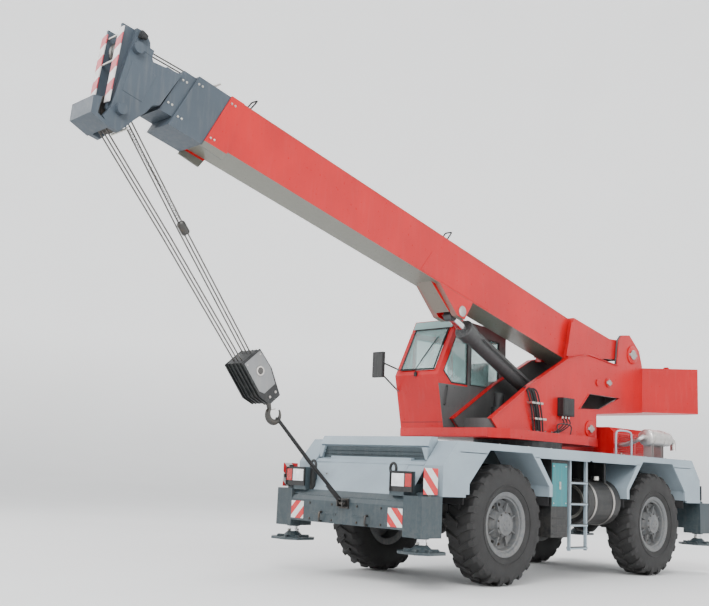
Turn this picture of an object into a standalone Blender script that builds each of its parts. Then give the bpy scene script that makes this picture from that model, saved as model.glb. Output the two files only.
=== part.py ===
"""Mobile crane on a two-axle carrier, with a slewing superstructure and a four-section telescopic boom.

Metres, +Z up. The crane faces -Y and its left side is +X. The origin is on the ground, under the middle
of the overall box. Carrier and superstructure shapes are given from the slew centre; boom shapes are
given as (s, t): s along the boom from its pivot, t square to it and upwards.
"""

import math

import bmesh
import bpy
from mathutils import Matrix, Vector

# Overall layout
SLEW_Y = 1.89            # slew centre, halfway between the axles
WHEELBASE = 3.60
TRACK = 2.00
HALF_WIDTH = 1.255       # outer face of the mudguards and of the outrigger jacks
DECK_TOP = 1.72
RING_TOP = 1.85          # where the superstructure starts

# Clearances
TOUCH = 0.0003           # between pieces that are bolted together
RUNNING = 0.0008         # round sliding beams, rods and boom sections
PIN_CLEARANCE = 0.0007   # round a pin
SEGMENTS = 28            # sides of round pieces

# Wheels and axles
TYRE_RADIUS = 0.745
TYRE_WIDTH = 0.43
RIM_RADIUS = 0.335       # bead seat
RIM_FLANGE = 0.403
RIM_HALF = 0.184
HUB_RADIUS = 0.156
KINGPIN_X = 0.74
AXLE_RADIUS = 0.09

# Chassis
FRAME_HALF = 0.36
FRAME_BOTTOM = 0.95
FRAME_TOP = 1.30
CARRIER_HALF = 3.452     # slew centre to the front or rear face
BOX_DEPTH = 0.352        # outrigger box, front to back
BOX_BOTTOM = 0.673
BOX_TOP = 1.066
BOX_HALF = 0.97          # outrigger box, centre to where the jack housing starts
BEAM_WIDTH = 0.13
BEAM_BOTTOM, BEAM_TOP = 0.73, 1.00
BEAM_TAIL = 0.90         # how far a closed beam reaches past the centre line
LAMP_X, LAMP_TOP = (0.733, 0.96), 1.34
JACK_RADIUS = 0.055
PAD_HALF = 0.25
PAD_BOTTOM = 0.42
RING_RADIUS = 0.64
DECK_PLATE = 0.04
SKIN = 0.03

# Mudguards, measured from each axle
ARCH_FLAT = 0.457        # half of the level stretch over the wheel
ARCH_REACH = 0.883       # axle to the upright edge
ARCH_CORNER_Z = 1.251
ARCH_FOOT_Z = 1.10
FLANGE = 0.065

# Superstructure
PLATE_INNER, PLATE_OUTER = 0.31, 0.36
SLAB_TOP = 1.98
PIVOT_DY, PIVOT_Z = 2.59, 3.40
PIVOT_RADIUS = 0.08
LIFT_DY, LIFT_Z = 1.35, 2.12
LIFT_PIN_RADIUS = 0.06
CAB_RIGHT, CAB_LEFT = -1.20, -0.38
CAB_WALL = 0.04
DOOR_FRONT, DOOR_REAR = -1.06, -0.12
DOOR_BOTTOM, DOOR_TOP = 2.05, 3.40
DOOR_GAP = 0.005

# Boom, in (s, t)
BOOM_ANGLE = 13.4        # degrees above level, at rest
LUFF_TOP = 75.0
BOOM_WALL = 0.012
BASE_REAR, BASE_FRONT = 1.20, 8.51
SECTION_HALF = (0.215, 0.190, 0.165, 0.140)
SECTION_TOP = (0.0, -0.03, -0.06, -0.09)
SECTION_BOTTOM = (-0.64, -0.605, -0.575, -0.545)
SECTION_REAR = (BASE_REAR, 1.70, 1.95, 2.20)
SECTION_FRONT = (BASE_FRONT, 8.96, 9.13, 9.30)
NOSE_RAKE = 0.27         # how far a section's front edge leads for each metre that it goes down
EYE_S, EYE_T = 4.10, -0.84
EYE_DROP = 0.05          # the rod's eye hangs this far under its pin
EYE_RADIUS = 0.07
ROD_RADIUS = 0.065
BARREL_RADIUS = 0.12
COLLAR_RADIUS = 0.145
ROD_SHOWING = 0.42

# Boom head, hook and falls
UPPER_SHEAVE = (9.75, -0.153)
LOWER_SHEAVE = (9.72, -0.867)
SHEAVE_RADIUS = 0.19
LUG_INNER, LUG_OUTER = 0.125, 0.155
CHEEK_INNER, CHEEK_OUTER = 0.17, 0.215
FALLS_ANGLE = 40.0       # degrees from upright, towards the carrier
BLOCK_TOP, BLOCK_BOTTOM = 2.99, 3.58
BLOCK_HALF = 0.17
DRUM_AT = (0.667, -0.097)


# ---------------------------------------------------------------- shapes
def prism(outline, low, high, axis="X"):
    """An outline pulled along an axis. X takes (y, z) points, Y takes (x, z) and Z takes (x, y)."""
    place = {
        "X": lambda a, b, w: (w, a, b),
        "Y": lambda a, b, w: (a, w, b),
        "Z": lambda a, b, w: (a, b, w),
    }[axis]
    count = len(outline)
    points = [place(a, b, w) for w in (low, high) for a, b in outline]
    faces = [tuple(range(count)), tuple(range(2 * count - 1, count - 1, -1))]
    faces += [(i, (i + 1) % count, count + (i + 1) % count, count + i) for i in range(count)]
    return points, faces


def box(x, y, z):
    """A block between two values on each axis."""
    return prism([(x[0], y[0]), (x[1], y[0]), (x[1], y[1]), (x[0], y[1])], z[0], z[1], "Z")


def turned(profile, axis="X", at=(0, 0, 0), sides=SEGMENTS):
    """A closed (along, radius) profile turned about an axis through a point."""
    place = {
        "X": lambda w, a, b: (w, a, b),
        "Y": lambda w, a, b: (a, w, b),
        "Z": lambda w, a, b: (a, b, w),
    }[axis]
    points, rings = [], []
    for along, radius in profile:
        start = len(points)
        if radius < 1e-6:
            points.append(place(along, 0.0, 0.0))
            rings.append([start] * sides)
            continue
        for i in range(sides):
            angle = 2 * math.pi * (i + 0.5) / sides
            points.append(place(along, radius * math.cos(angle), radius * math.sin(angle)))
        rings.append(list(range(start, start + sides)))
    faces = []
    for near, far in zip(rings, rings[1:] + rings[:1]):
        for i in range(sides):
            j = (i + 1) % sides
            corners = []
            for corner in (near[i], near[j], far[j], far[i]):
                if corner not in corners:
                    corners.append(corner)
            if len(corners) > 2:
                faces.append(tuple(corners))
    return [tuple(Vector(p) + Vector(at)) for p in points], faces


def rod(start, end, radius, axis="X", at=(0, 0, 0), sides=SEGMENTS):
    """A round bar from start to end on an axis."""
    return turned([(start, 0), (start, radius), (end, radius), (end, 0)], axis, at, sides)


def bar(start, end, radius, sides=12):
    """A round bar between any two points."""
    start, end = Vector(start), Vector(end)
    turn = Vector((0, 0, 1)).rotation_difference(end - start).to_matrix()
    points, faces = rod(0, (end - start).length, radius, "Z", sides=sides)
    return [tuple(turn @ Vector(p) + start) for p in points], faces


def strip(path, thickness):
    """The outline of a sheet that follows a path of (a, b) points, thickened to its right-hand side."""
    path = [Vector(p) for p in path]
    steps = [(q - p).normalized() for p, q in zip(path, path[1:])]
    inner = []
    for i, point in enumerate(path):
        before, after = steps[max(i - 1, 0)], steps[min(i, len(steps) - 1)]
        normal = Vector((before.y, -before.x)) + Vector((after.y, -after.x))
        normal.normalize()
        inner.append(point + normal * thickness / normal.dot(Vector((after.y, -after.x))))
    return [tuple(p) for p in path] + [tuple(p) for p in reversed(inner)]


def mirrored(shape):
    """The same shape on the other side of the centre line."""
    points, faces = shape
    return [(-x, y, z) for x, y, z in points], faces


def both(shape):
    return [shape, mirrored(shape)]


def moved(shape, dx=0.0, dy=0.0, dz=0.0):
    points, faces = shape
    return [(x + dx, y + dy, z + dz) for x, y, z in points], faces


def reversed_y(outline):
    """A (y, z) outline turned end for end, for the rear of the carrier."""
    return [(-y, z) for y, z in outline]


# ---------------------------------------------------------------- scene helpers
def paint(name, colour, roughness, metallic=0.0):
    material = bpy.data.materials.new(name)
    material.use_nodes = True
    shader = material.node_tree.nodes["Principled BSDF"]
    shader.inputs["Base Color"].default_value = (*colour, 1.0)
    shader.inputs["Roughness"].default_value = roughness
    shader.inputs["Metallic"].default_value = metallic
    return material


def mesh_object(name, shape, frame):
    points, faces = shape
    mesh = bpy.data.meshes.new(name)
    mesh.from_pydata(points, [], faces)
    work = bmesh.new()
    work.from_mesh(mesh)
    bmesh.ops.recalc_face_normals(work, faces=work.faces)
    work.to_mesh(mesh)
    work.free()
    made = bpy.data.objects.new(name, mesh)
    made.parent = frame
    return made


def frame_at(name, location, turn_x=0.0, parent=None):
    """An empty whose origin is a joint's axis, turned about X by some degrees."""
    empty = bpy.data.objects.new(name, None)
    bpy.context.scene.collection.objects.link(empty)
    place = Matrix.Translation(location) @ Matrix.Rotation(math.radians(turn_x), 4, "X")
    empty.parent = parent
    bpy.context.view_layer.update()
    empty.matrix_world = place
    bpy.context.view_layer.update()
    return empty


def helper_set(name, shapes, frame):
    """A collection of hidden shapes for one Boolean."""
    group = bpy.data.collections.new(name)
    bpy.context.scene.collection.children.link(group)
    for i, shape in enumerate(shapes):
        helper = mesh_object(f"{name}_{i}", shape, frame)
        helper.hide_render = True
        helper.display_type = "WIRE"
        group.objects.link(helper)
    return group


def node(name, frame, material, add, cut=()):
    """One named piece: the shapes in add joined into one body, less the shapes in cut."""
    made = mesh_object(name, add[0], frame)
    bpy.context.scene.collection.objects.link(made)
    made.data.materials.append(material)
    for operation, shapes in (("UNION", add[1:]), ("DIFFERENCE", cut)):
        if not shapes:
            continue
        boolean = made.modifiers.new(operation.lower(), "BOOLEAN")
        boolean.operation = operation
        boolean.solver = "EXACT"
        boolean.operand_type = "COLLECTION"
        boolean.collection = helper_set(f"{name}_{operation.lower()}", shapes, frame)
    made.data.shade_smooth()
    made.data.set_sharp_from_angle(angle=math.radians(35))
    return made


# ---------------------------------------------------------------- carrier
def chassis(carrier, paints):
    end = CARRIER_HALF - BOX_DEPTH - TOUCH
    spine = (FRAME_TOP - 0.01, DECK_TOP - DECK_PLATE - TOUCH)
    node("chassis_frame", carrier, paints["dark_grey"], [
        box((-FRAME_HALF, FRAME_HALF), (-end, end), (FRAME_BOTTOM, FRAME_TOP)),
        box((-0.30, 0.30), (-2.84, -0.40), spine),
        box((-0.30, 0.30), (0.40, 1.60), spine),
        rod(FRAME_TOP - 0.01, 1.68, RING_RADIUS - 0.04, "Z"),
    ])
    node("slew_ring", carrier, paints["black"], [
        turned([(1.68 + TOUCH, 0.50), (1.68 + TOUCH, RING_RADIUS),
                (RING_TOP - TOUCH, RING_RADIUS), (RING_TOP - TOUCH, 0.50)], "Z", sides=36),
    ])


def arch_path(inset=0.0):
    """The mudguard's edge over one wheel, from its front foot to its rear foot, from the axle."""
    reach, flat = ARCH_REACH - inset, ARCH_FLAT - 0.4 * inset
    corner, top = ARCH_CORNER_Z - 0.4 * inset, DECK_TOP - 0.015 - inset
    return [(-reach, ARCH_FOOT_Z), (-reach, corner), (-flat, top),
            (flat, top), (reach, corner), (reach, ARCH_FOOT_Z)]


def deck(name, carrier, paints, to_rear, centre_cuts):
    """Half of the deck, with the mudguards of one axle on both sides and the closed nose at its end."""
    axle = -WHEELBASE / 2
    nose = -(CARRIER_HALF - BOX_DEPTH) + TOUCH
    shoulder = -2.85
    lip = DECK_TOP - 0.12
    top = DECK_TOP - DECK_PLATE
    arch = [(axle + y, z) for y, z in arch_path(FLANGE)]
    outer = [(axle + y, z) for y, z in arch_path()]
    panel = [(nose, BOX_TOP + TOUCH), (nose, 1.42), (shoulder, DECK_TOP), (-TOUCH, DECK_TOP), (-TOUCH, lip),
             (outer[4][0] - 0.30, lip), (outer[4][0], outer[4][1]), outer[5]]
    panel += list(reversed(arch)) + [(outer[0][0], ARCH_FOOT_Z), (outer[0][0], BOX_TOP + TOUCH)]
    liner = strip(outer, SKIN)
    slope = strip([(nose, BOX_TOP + TOUCH), (nose, 1.42), (shoulder, DECK_TOP), (shoulder + 0.1, DECK_TOP)],
                  SKIN)
    outlines = {"panel": panel, "liner": liner, "slope": slope}
    if to_rear:
        outlines = {key: reversed_y(points) for key, points in outlines.items()}
    span = (-TOUCH, shoulder) if not to_rear else (TOUCH, -shoulder)
    plate_reach = HALF_WIDTH - 0.001
    add = [box((-plate_reach, plate_reach), (min(span), max(span)), (top, DECK_TOP))]
    add += both(prism(outlines["panel"], HALF_WIDTH - SKIN, HALF_WIDTH))
    add += both(prism(outlines["liner"], 0.62, HALF_WIDTH - 0.002))
    add += both(prism(outlines["slope"], 0.96, HALF_WIDTH - 0.001))
    cut = [rod(top - 0.05, DECK_TOP + 0.05, RING_RADIUS + 0.03, "Z", sides=36)] + centre_cuts
    node(name, carrier, paints["light_grey"], add, cut)


def decks(carrier, paints):
    deck("front_deck", carrier, paints, False, [])
    engine_hole = box((-0.44, 0.44), (1.85, 2.90), (DECK_TOP - 0.1, DECK_TOP + 0.1))
    deck("rear_deck", carrier, paints, True, [engine_hole])
    low = [(-3.36, BOX_TOP + TOUCH), (-3.05, 1.46), (-3.05, 1.50), (-2.90, 1.50), (-2.90, FRAME_TOP + 0.02),
           (-3.10 - TOUCH, FRAME_TOP + 0.02), (-3.10 - TOUCH, BOX_TOP + TOUCH)]
    high = [(-3.09, 1.42), (-3.05, 1.46), (-2.985, 1.48), (-2.985, 1.63), (-3.02, 1.65), (-2.97, 1.76),
            (-2.85 - TOUCH, 1.76), (-2.85 - TOUCH, 1.42)]
    node("front_hood", carrier, paints["light_grey"], [prism(low, -0.70, 0.70), prism(high, -0.94, 0.94)])
    tail = [(3.10 + TOUCH, BOX_TOP + TOUCH), (3.30, BOX_TOP + TOUCH), (3.20, 1.50), (2.95, DECK_TOP),
            (2.85 + TOUCH, DECK_TOP), (2.85 + TOUCH, FRAME_TOP + 0.02), (3.10 + TOUCH, FRAME_TOP + 0.02)]
    node("tail_panel", carrier, paints["light_grey"], [prism(tail, -0.70, 0.70)])


def outrigger_boxes(carrier, paints):
    front, back = -CARRIER_HALF, -CARRIER_HALF + BOX_DEPTH
    section = [(front, BOX_BOTTOM), (front, 0.94), (front + 0.07, BOX_TOP), (back, BOX_TOP), (back, BOX_BOTTOM)]
    channels = [(channel[0] - RUNNING, channel[1] + RUNNING) for channel in beam_channels()]
    for name, flip in (("front_outrigger_box", 1), ("rear_outrigger_box", -1)):
        outline = [(y * flip, z) for y, z in section]
        cut = [box((-BOX_HALF - 0.1, BOX_HALF + 0.1), sorted((low * flip, high * flip)),
                   (BEAM_BOTTOM - RUNNING, BEAM_TOP + RUNNING)) for low, high in channels]
        lamp = both(box(LAMP_X, sorted(((front + 0.01) * flip, (front + 0.20) * flip)), (BOX_TOP - 0.01, LAMP_TOP)))
        node(name, carrier, paints["dark_grey"], [prism(outline, -BOX_HALF, BOX_HALF)] + lamp, cut)


def beam_channels():
    """Where the left and the right beam run inside the front box, as (front, back)."""
    first = -CARRIER_HALF + 0.03
    second = first + BEAM_WIDTH + 0.03
    return (first, first + BEAM_WIDTH), (second, second + BEAM_WIDTH)


def outriggers(carrier, paints):
    """Four sliding beams with their jack housings, and the jack rod and float under each."""
    left_channel, right_channel = beam_channels()
    jack_x = BOX_HALF + (HALF_WIDTH - BOX_HALF) / 2
    for end, flip_y in (("front", 1), ("rear", -1)):
        for side, flip_x, channel in (("left", 1, left_channel), ("right", -1, right_channel)):
            beam_y = sorted((channel[0] * flip_y, channel[1] * flip_y))
            housing_y = sorted((-CARRIER_HALF * flip_y, (-CARRIER_HALF + BOX_DEPTH) * flip_y))
            jack_y = sum(housing_y) / 2
            centre = Vector((jack_x * flip_x, jack_y, 0))
            start = BOX_HALF + TOUCH
            beam = box(sorted((-BEAM_TAIL * flip_x, (start + 0.1) * flip_x)), beam_y, (BEAM_BOTTOM, BEAM_TOP))
            housing = box(sorted((start * flip_x, HALF_WIDTH * flip_x)), housing_y, (0.60, BOX_TOP))
            bore = rod(0.5, 1.02, JACK_RADIUS + RUNNING, "Z", centre)
            node(f"outrigger_beam_{end}_{side}", carrier, paints["dark_grey"], [housing, beam], [bore])
            slant = PAD_HALF * 0.55
            pad = [(-PAD_HALF, -slant), (-slant, -PAD_HALF), (slant, -PAD_HALF), (PAD_HALF, -slant),
                   (PAD_HALF, slant), (slant, PAD_HALF), (-slant, PAD_HALF), (-PAD_HALF, slant)]
            foot = prism([(x + centre.x, y + centre.y) for x, y in pad], PAD_BOTTOM, PAD_BOTTOM + 0.03, "Z")
            cone = turned([(PAD_BOTTOM + 0.02, 0), (PAD_BOTTOM + 0.02, 0.16), (PAD_BOTTOM + 0.10, 0.07),
                           (PAD_BOTTOM + 0.10, 0)], "Z", centre)
            shaft = rod(PAD_BOTTOM + 0.02, 1.0, JACK_RADIUS, "Z", centre)
            node(f"outrigger_jack_{end}_{side}", carrier, paints["dark_grey"], [foot, cone, shaft])


def side_equipment(carrier, paints):
    under = DECK_TOP - DECK_PLATE - TOUCH
    node("battery_box", carrier, paints["black"], [box((0.80, 1.20), (-0.87, -0.49), (0.58, under))])
    rails = [box((1.15, 1.19), (y, y + 0.03), (0.40, under)) for y in (-0.42, -0.03)]
    rungs = [box((1.14, 1.20), (-0.42, 0.0), (z, z + 0.025)) for z in (0.42, 0.72, 1.00, 1.28)]
    node("side_ladder", carrier, paints["light_grey"], rails + rungs)
    tank = [turned([(0.04, 0), (0.04, 0.30), (0.06, 0.32), (0.86, 0.32), (0.88, 0.30), (0.88, 0)], "Y",
                   (0.87, 0, 1.04))]
    hangers = [box((0.70, 1.04), (y, y + 0.05), (1.20, under)) for y in (0.20, 0.66)]
    node("fuel_tank", carrier, paints["black"], tank + hangers)
    node("hydraulic_tank", carrier, paints["light_grey"],
         [box((-1.20, -0.63), (-0.30, 0.86), (0.72, under))])
    node("right_ladder", carrier, paints["light_grey"],
         [mirrored(moved(shape, dy=-0.42)) for shape in rails + rungs])
    engine = box((-0.35, 0.35), (1.86, 2.80), (FRAME_TOP + TOUCH, 2.04))
    node("engine_block", carrier, paints["black"], [engine])
    hood = [(-0.50, DECK_TOP + TOUCH), (-0.50, 2.10), (-0.42, 2.18), (0.42, 2.18), (0.50, 2.10),
            (0.50, DECK_TOP + TOUCH)]
    inside = [(-0.47, DECK_TOP - 0.1), (-0.47, 2.09), (-0.41, 2.15), (0.41, 2.15), (0.47, 2.09),
              (0.47, DECK_TOP - 0.1)]
    node("engine_hood", carrier, paints["red"], [prism(hood, 1.80, 2.95, "Y")],
         [prism(inside, 1.83, 2.92, "Y")])
    body = turned([(1.78, 0), (1.78, 0.125), (2.30, 0.125), (2.30, 0.11), (2.46, 0.11), (2.46, 0)], "Y",
                  (1.05, 0, 2.02))
    saddles = [box((0.98, 1.12), (y, y + 0.06), (DECK_TOP + TOUCH, 1.96)) for y in (1.86, 2.16)]
    node("muffler", carrier, paints["steel"], [body] + saddles)


def axles(carrier, paints):
    """Each axle, its two knuckles and its two wheels."""
    for end, dy in (("front", -WHEELBASE / 2), ("rear", WHEELBASE / 2)):
        at = (0, dy, TYRE_RADIUS)
        casing = turned([(-0.22, 0), (-0.22, 0.10), (-0.12, 0.19), (0.12, 0.19), (0.22, 0.10), (0.22, 0)],
                        "X", at)
        tube = rod(-0.63, 0.63, AXLE_RADIUS, "X", at)
        seats = both(box((0.24, 0.34), (dy - 0.12, dy + 0.12), (TYRE_RADIUS, FRAME_BOTTOM - TOUCH)))
        webs = both(box((0.60, 0.65), (dy - 0.08, dy + 0.08), (TYRE_RADIUS - 0.17, TYRE_RADIUS + 0.17)))
        lugs = both(box((0.60, 0.80), (dy - 0.08, dy + 0.08), (TYRE_RADIUS + 0.12, TYRE_RADIUS + 0.17)))
        lugs += both(box((0.60, 0.80), (dy - 0.08, dy + 0.08), (TYRE_RADIUS - 0.17, TYRE_RADIUS - 0.12)))
        node(f"{end}_axle", carrier, paints["black"], [tube, casing] + seats + webs + lugs)
        for side, flip in (("left", 1), ("right", -1)):
            wheel(carrier, paints, end, side, flip, dy)


def wheel(carrier, paints, end, side, flip, dy):
    label = f"{end}_{side}"
    height = 0.12 - PIN_CLEARANCE
    kingpin = frame_at(f"steer_{label}", (KINGPIN_X * flip, SLEW_Y + dy, TYRE_RADIUS), parent=carrier)
    offset = TRACK / 2 - KINGPIN_X
    knuckle = rod(-height, height, 0.07, "Z")
    stub = rod(0, (offset - 0.08 - PIN_CLEARANCE) * flip, 0.07, "X")
    arm = box((-0.03, 0.03), (-0.20, 0), (-0.03, 0.03))
    node(f"knuckle_{label}", kingpin, paints["black"], [knuckle, stub, arm])
    hub = frame_at(f"hub_{label}", (TRACK / 2 * flip, SLEW_Y + dy, TYRE_RADIUS), parent=kingpin)
    rim = [(-0.08, 0), (-0.08, 0.12), (0.02, 0.12), (0.02, 0.31), (-RIM_HALF + 0.012, 0.31),
           (-RIM_HALF, RIM_FLANGE - 0.02), (-RIM_HALF, RIM_FLANGE), (-RIM_HALF + 0.014, RIM_FLANGE),
           (-RIM_HALF + 0.02, RIM_RADIUS), (RIM_HALF - 0.02, RIM_RADIUS), (RIM_HALF - 0.014, RIM_FLANGE),
           (RIM_HALF, RIM_FLANGE), (RIM_HALF, RIM_FLANGE - 0.02), (RIM_HALF - 0.03, 0.31), (0.06, 0.29),
           (0.06, 0.20), (0.13, HUB_RADIUS), (0.199, HUB_RADIUS - 0.02), (0.199, 0)]
    half = TYRE_WIDTH / 2
    bead = RIM_RADIUS + TOUCH
    seat = RIM_HALF - 0.02 - TOUCH
    tyre = [(-seat, bead), (-seat + 0.006, RIM_FLANGE), (-half, 0.52), (-half, 0.62), (-half + 0.03, 0.715),
            (-half + 0.08, TYRE_RADIUS), (half - 0.08, TYRE_RADIUS), (half - 0.03, 0.715), (half, 0.62),
            (half, 0.52), (seat - 0.006, RIM_FLANGE), (seat, bead)]
    node(f"rim_{label}", hub, paints["rim_grey"], [turned([(a * flip, r) for a, r in rim], "X")])
    node(f"tyre_{label}", hub, paints["rubber"], [turned([(a * flip, r) for a, r in tyre], "X")])


# ---------------------------------------------------------------- superstructure
def turntable(top, paints):
    plan = [(CAB_RIGHT, -1.22), (0.42, -1.22), (0.62, -1.0), (0.62, 0.90), (0.40, 1.52),
            (-0.40, 1.52), (-0.62, 1.20), (CAB_RIGHT, 0.24)]
    slab = prism(plan, RING_TOP, SLAB_TOP, "Z")
    side = [(-0.87, SLAB_TOP - 0.06), (-1.09, 2.11), (-0.21, 2.65), (0.74, 3.135), (1.01, 3.19), (1.29, 3.25),
            (2.13, 3.175), (2.19, 3.60), (2.28, 3.69), (2.52, 3.72), (2.82, 3.49), (2.91, 3.25), (2.91, 2.48),
            (1.54, 2.36), (1.54, SLAB_TOP - 0.06)]
    window = [(1.34, 2.66), (2.20, 2.66), (1.62, 2.44), (1.08, 2.41)]
    ties = [
        box((-PLATE_INNER - 0.01, PLATE_INNER + 0.01), (-0.85, -0.81), (SLAB_TOP - 0.02, 2.14)),
        box((-PLATE_INNER - 0.01, PLATE_INNER + 0.01), (1.48, 1.515), (SLAB_TOP - 0.02, 2.31)),
        box((-PLATE_INNER - 0.01, PLATE_INNER + 0.01), (2.86, 2.90), (2.52, 3.12)),
    ]
    pins = [
        rod(-PLATE_INNER - 0.02, PLATE_INNER + 0.02, LIFT_PIN_RADIUS, "X", (0, LIFT_DY, LIFT_Z)),
        rod(-PLATE_INNER - 0.02, PLATE_INNER + 0.02, PIVOT_RADIUS, "X", (0, PIVOT_DY, PIVOT_Z), 32),
    ]
    node("turntable", top, paints["red"], [slab] + both(prism(side, PLATE_INNER, PLATE_OUTER)) + ties + pins,
         both(prism(window, PLATE_INNER - 0.05, PLATE_OUTER + 0.05)))
    front, rear = 2.91 + TOUCH, 3.60
    outline = [(PLATE_OUTER, front), (1.08, 3.42), (1.02, 3.52), (0.80, rear), (-0.80, rear), (-1.02, 3.52),
               (-1.08, 3.42), (-PLATE_OUTER, front)]
    node("counterweight", top, paints["red"], [prism(outline, 2.49, 3.22, "Z")])


def cab_outline(grow=0.0):
    """The cab seen from its side, as (y, z)."""
    return [(-1.22 - grow, SLAB_TOP + TOUCH), (-1.38 - grow, 2.72), (-0.97 - grow, 3.57 + grow),
            (0.18 + grow, 3.50 + grow), (0.20 + grow, SLAB_TOP + TOUCH)]


def cab(top, paints):
    wall = CAB_WALL
    inside = [(-1.175, SLAB_TOP - 0.1), (-1.335, 2.72), (-0.94, 3.53), (0.14, 3.46), (0.155, SLAB_TOP - 0.1)]
    windscreen = [(-1.45, 2.80), (-1.20, 2.78), (-0.88, 3.44), (-1.15, 3.44)]
    side_windows = [
        [(-1.26, 2.78), (-1.08, 2.62), (-0.72, 2.62), (-0.72, 3.36), (-0.98, 3.36)],
        [(-0.66, 2.62), (0.02, 2.62), (0.02, 3.34), (-0.66, 3.36)],
    ]
    cuts = [prism(inside, CAB_RIGHT + wall, CAB_LEFT - wall)]
    cuts += [prism(windscreen, CAB_RIGHT + 0.09, CAB_LEFT - 0.09)]
    cuts += [prism(outline, CAB_LEFT - 0.1, CAB_LEFT + 0.1) for outline in side_windows]
    cuts += [box((CAB_RIGHT + 0.12, CAB_LEFT - 0.12), (0.05, 0.3), (2.75, 3.36))]
    cuts += [box((CAB_RIGHT - 0.1, CAB_RIGHT + 0.1), (DOOR_FRONT, DOOR_REAR), (DOOR_BOTTOM, DOOR_TOP))]
    mirror = [box((-1.30, -1.10), (-1.76, -1.71), (2.67, 3.03))]
    mirror += [bar((-1.17, -1.27, 2.80), (-1.19, -1.72, 2.90), 0.012),
               bar((-1.17, -1.25, 2.45), (-1.19, -1.72, 2.75), 0.012)]
    node("cab_shell", top, paints["red"], [prism(cab_outline(), CAB_RIGHT, CAB_LEFT)] + mirror, cuts)

    hinge = frame_at("cab_door_hinge", (CAB_RIGHT, SLEW_Y + DOOR_FRONT, DOOR_BOTTOM), parent=top)
    width, height = DOOR_REAR - DOOR_FRONT - DOOR_GAP, DOOR_TOP - DOOR_BOTTOM - DOOR_GAP
    edge = 0.0006
    leaf = box((0, wall), (edge, width), (DOOR_GAP, height))
    glass = box((-0.1, wall + 0.1), (0.08, width - 0.08), (0.62, height - 0.08))
    node("cab_door", hinge, paints["red"], [leaf], [glass])

    seat = [box((-1.02, -0.58), (-0.42, 0.02), (2.32, 2.46)), box((-1.00, -0.60), (-0.06, 0.08), (2.42, 3.06)),
            box((-0.92, -0.68), (-0.36, -0.04), (SLAB_TOP + TOUCH, 2.34))]
    node("operator_seat", top, paints["seat"], seat)
    centre = Vector((-0.80, -0.86, 2.70))
    wheel_ring = turned([(-0.015, 0.155), (-0.015, 0.19), (0.015, 0.19), (0.015, 0.155)], "Z", sides=20)
    spoke = box((-0.17, 0.17), (-0.015, 0.015), (-0.008, 0.008))
    tilt = Matrix.Translation(centre) @ Matrix.Rotation(math.radians(25), 4, "X")
    tilted = [([tuple(tilt @ Vector(p)) for p in points], faces) for points, faces in (wheel_ring, spoke)]
    column = bar((centre.x, -0.98, SLAB_TOP + 0.02), centre, 0.035)
    foot = box((-0.90, -0.70), (-1.10, -0.88), (SLAB_TOP + TOUCH, SLAB_TOP + 0.25))
    node("steering_column", top, paints["black"], [column, foot] + tilted)


# ---------------------------------------------------------------- boom
def boom_point(s, t):
    """A boom (s, t) point as (y, z) from the slew centre and the ground, at rest."""
    angle = math.radians(BOOM_ANGLE)
    return (PIVOT_DY - s * math.cos(angle) + t * math.sin(angle),
            PIVOT_Z + s * math.sin(angle) + t * math.cos(angle))


def along(outline):
    """(s, t) points in the boom frame, whose -Y runs along the boom."""
    return [(-s, t) for s, t in outline]


def nose(front, t):
    """Where a raked front edge is at some height, from its place at the boom's top."""
    return front - NOSE_RAKE * t


def tube_outline(index, rear, front, grow=0.0):
    low, high = SECTION_BOTTOM[index] - grow, SECTION_TOP[index] + grow
    return along([(rear, low), (rear, high), (nose(front, high), high), (nose(front, low), low)])


def tube(index):
    """The outer and inner shape of one boom section."""
    half = SECTION_HALF[index]
    outer = prism(tube_outline(index, SECTION_REAR[index], SECTION_FRONT[index]), -half, half)
    inner = prism(tube_outline(index, SECTION_REAR[index] - 1.0, SECTION_FRONT[index] - 0.15, -BOOM_WALL),
                  -half + BOOM_WALL, half - BOOM_WALL)
    return outer, inner


def mouth(index):
    """The opening at a section's front that the next section slides through."""
    half = SECTION_HALF[index + 1] + RUNNING
    return prism(tube_outline(index + 1, SECTION_FRONT[index] - 1.0, SECTION_FRONT[index] + 1.0, RUNNING),
                 -half, half)


def boom_base(boom, paints):
    outer, inner = tube(0)
    foot = along([(1.65, 0.02), (1.65, -0.68), (1.035, -0.42), (0.34, -0.19), (0.12, -0.17), (-0.05, -0.165),
                  (-0.15, -0.08), (-0.17, 0.03), (-0.12, 0.13), (0.0, 0.19), (0.17, 0.184), (0.61, 0.06)])
    bracket = along([(4.70, -0.60), (4.18, -0.93), (4.02, -0.93), (3.90, -0.60)])
    slope = along([(4.80, -0.60), (4.66, -0.60), (4.24, -0.86), (4.26, -0.90)])
    stub = rod(0.08, 0.13, 0.05, "X", (0, -EYE_S, EYE_T))
    front = SECTION_FRONT[0]
    collar = along([(front - 0.18, 0.0), (front, 0.0), (nose(front, -0.74), -0.74), (front - 0.09, -0.76),
                    (front - 0.16, -0.60)])
    add = [outer]
    add += both(prism(foot, SECTION_HALF[0] - 0.03, PLATE_INNER - 0.01))
    add += both(prism(bracket, 0.12, SECTION_HALF[0]))
    add += [prism(slope, -0.13, 0.13)] + both(stub)
    add += both(prism(collar, SECTION_HALF[0] - 0.01, SECTION_HALF[0] + 0.012))
    hole = rod(-0.5, 0.5, PIVOT_RADIUS + PIN_CLEARANCE, "X", sides=32)
    node("boom_base", boom, paints["red"], add, [inner, mouth(0), hole])


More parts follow.
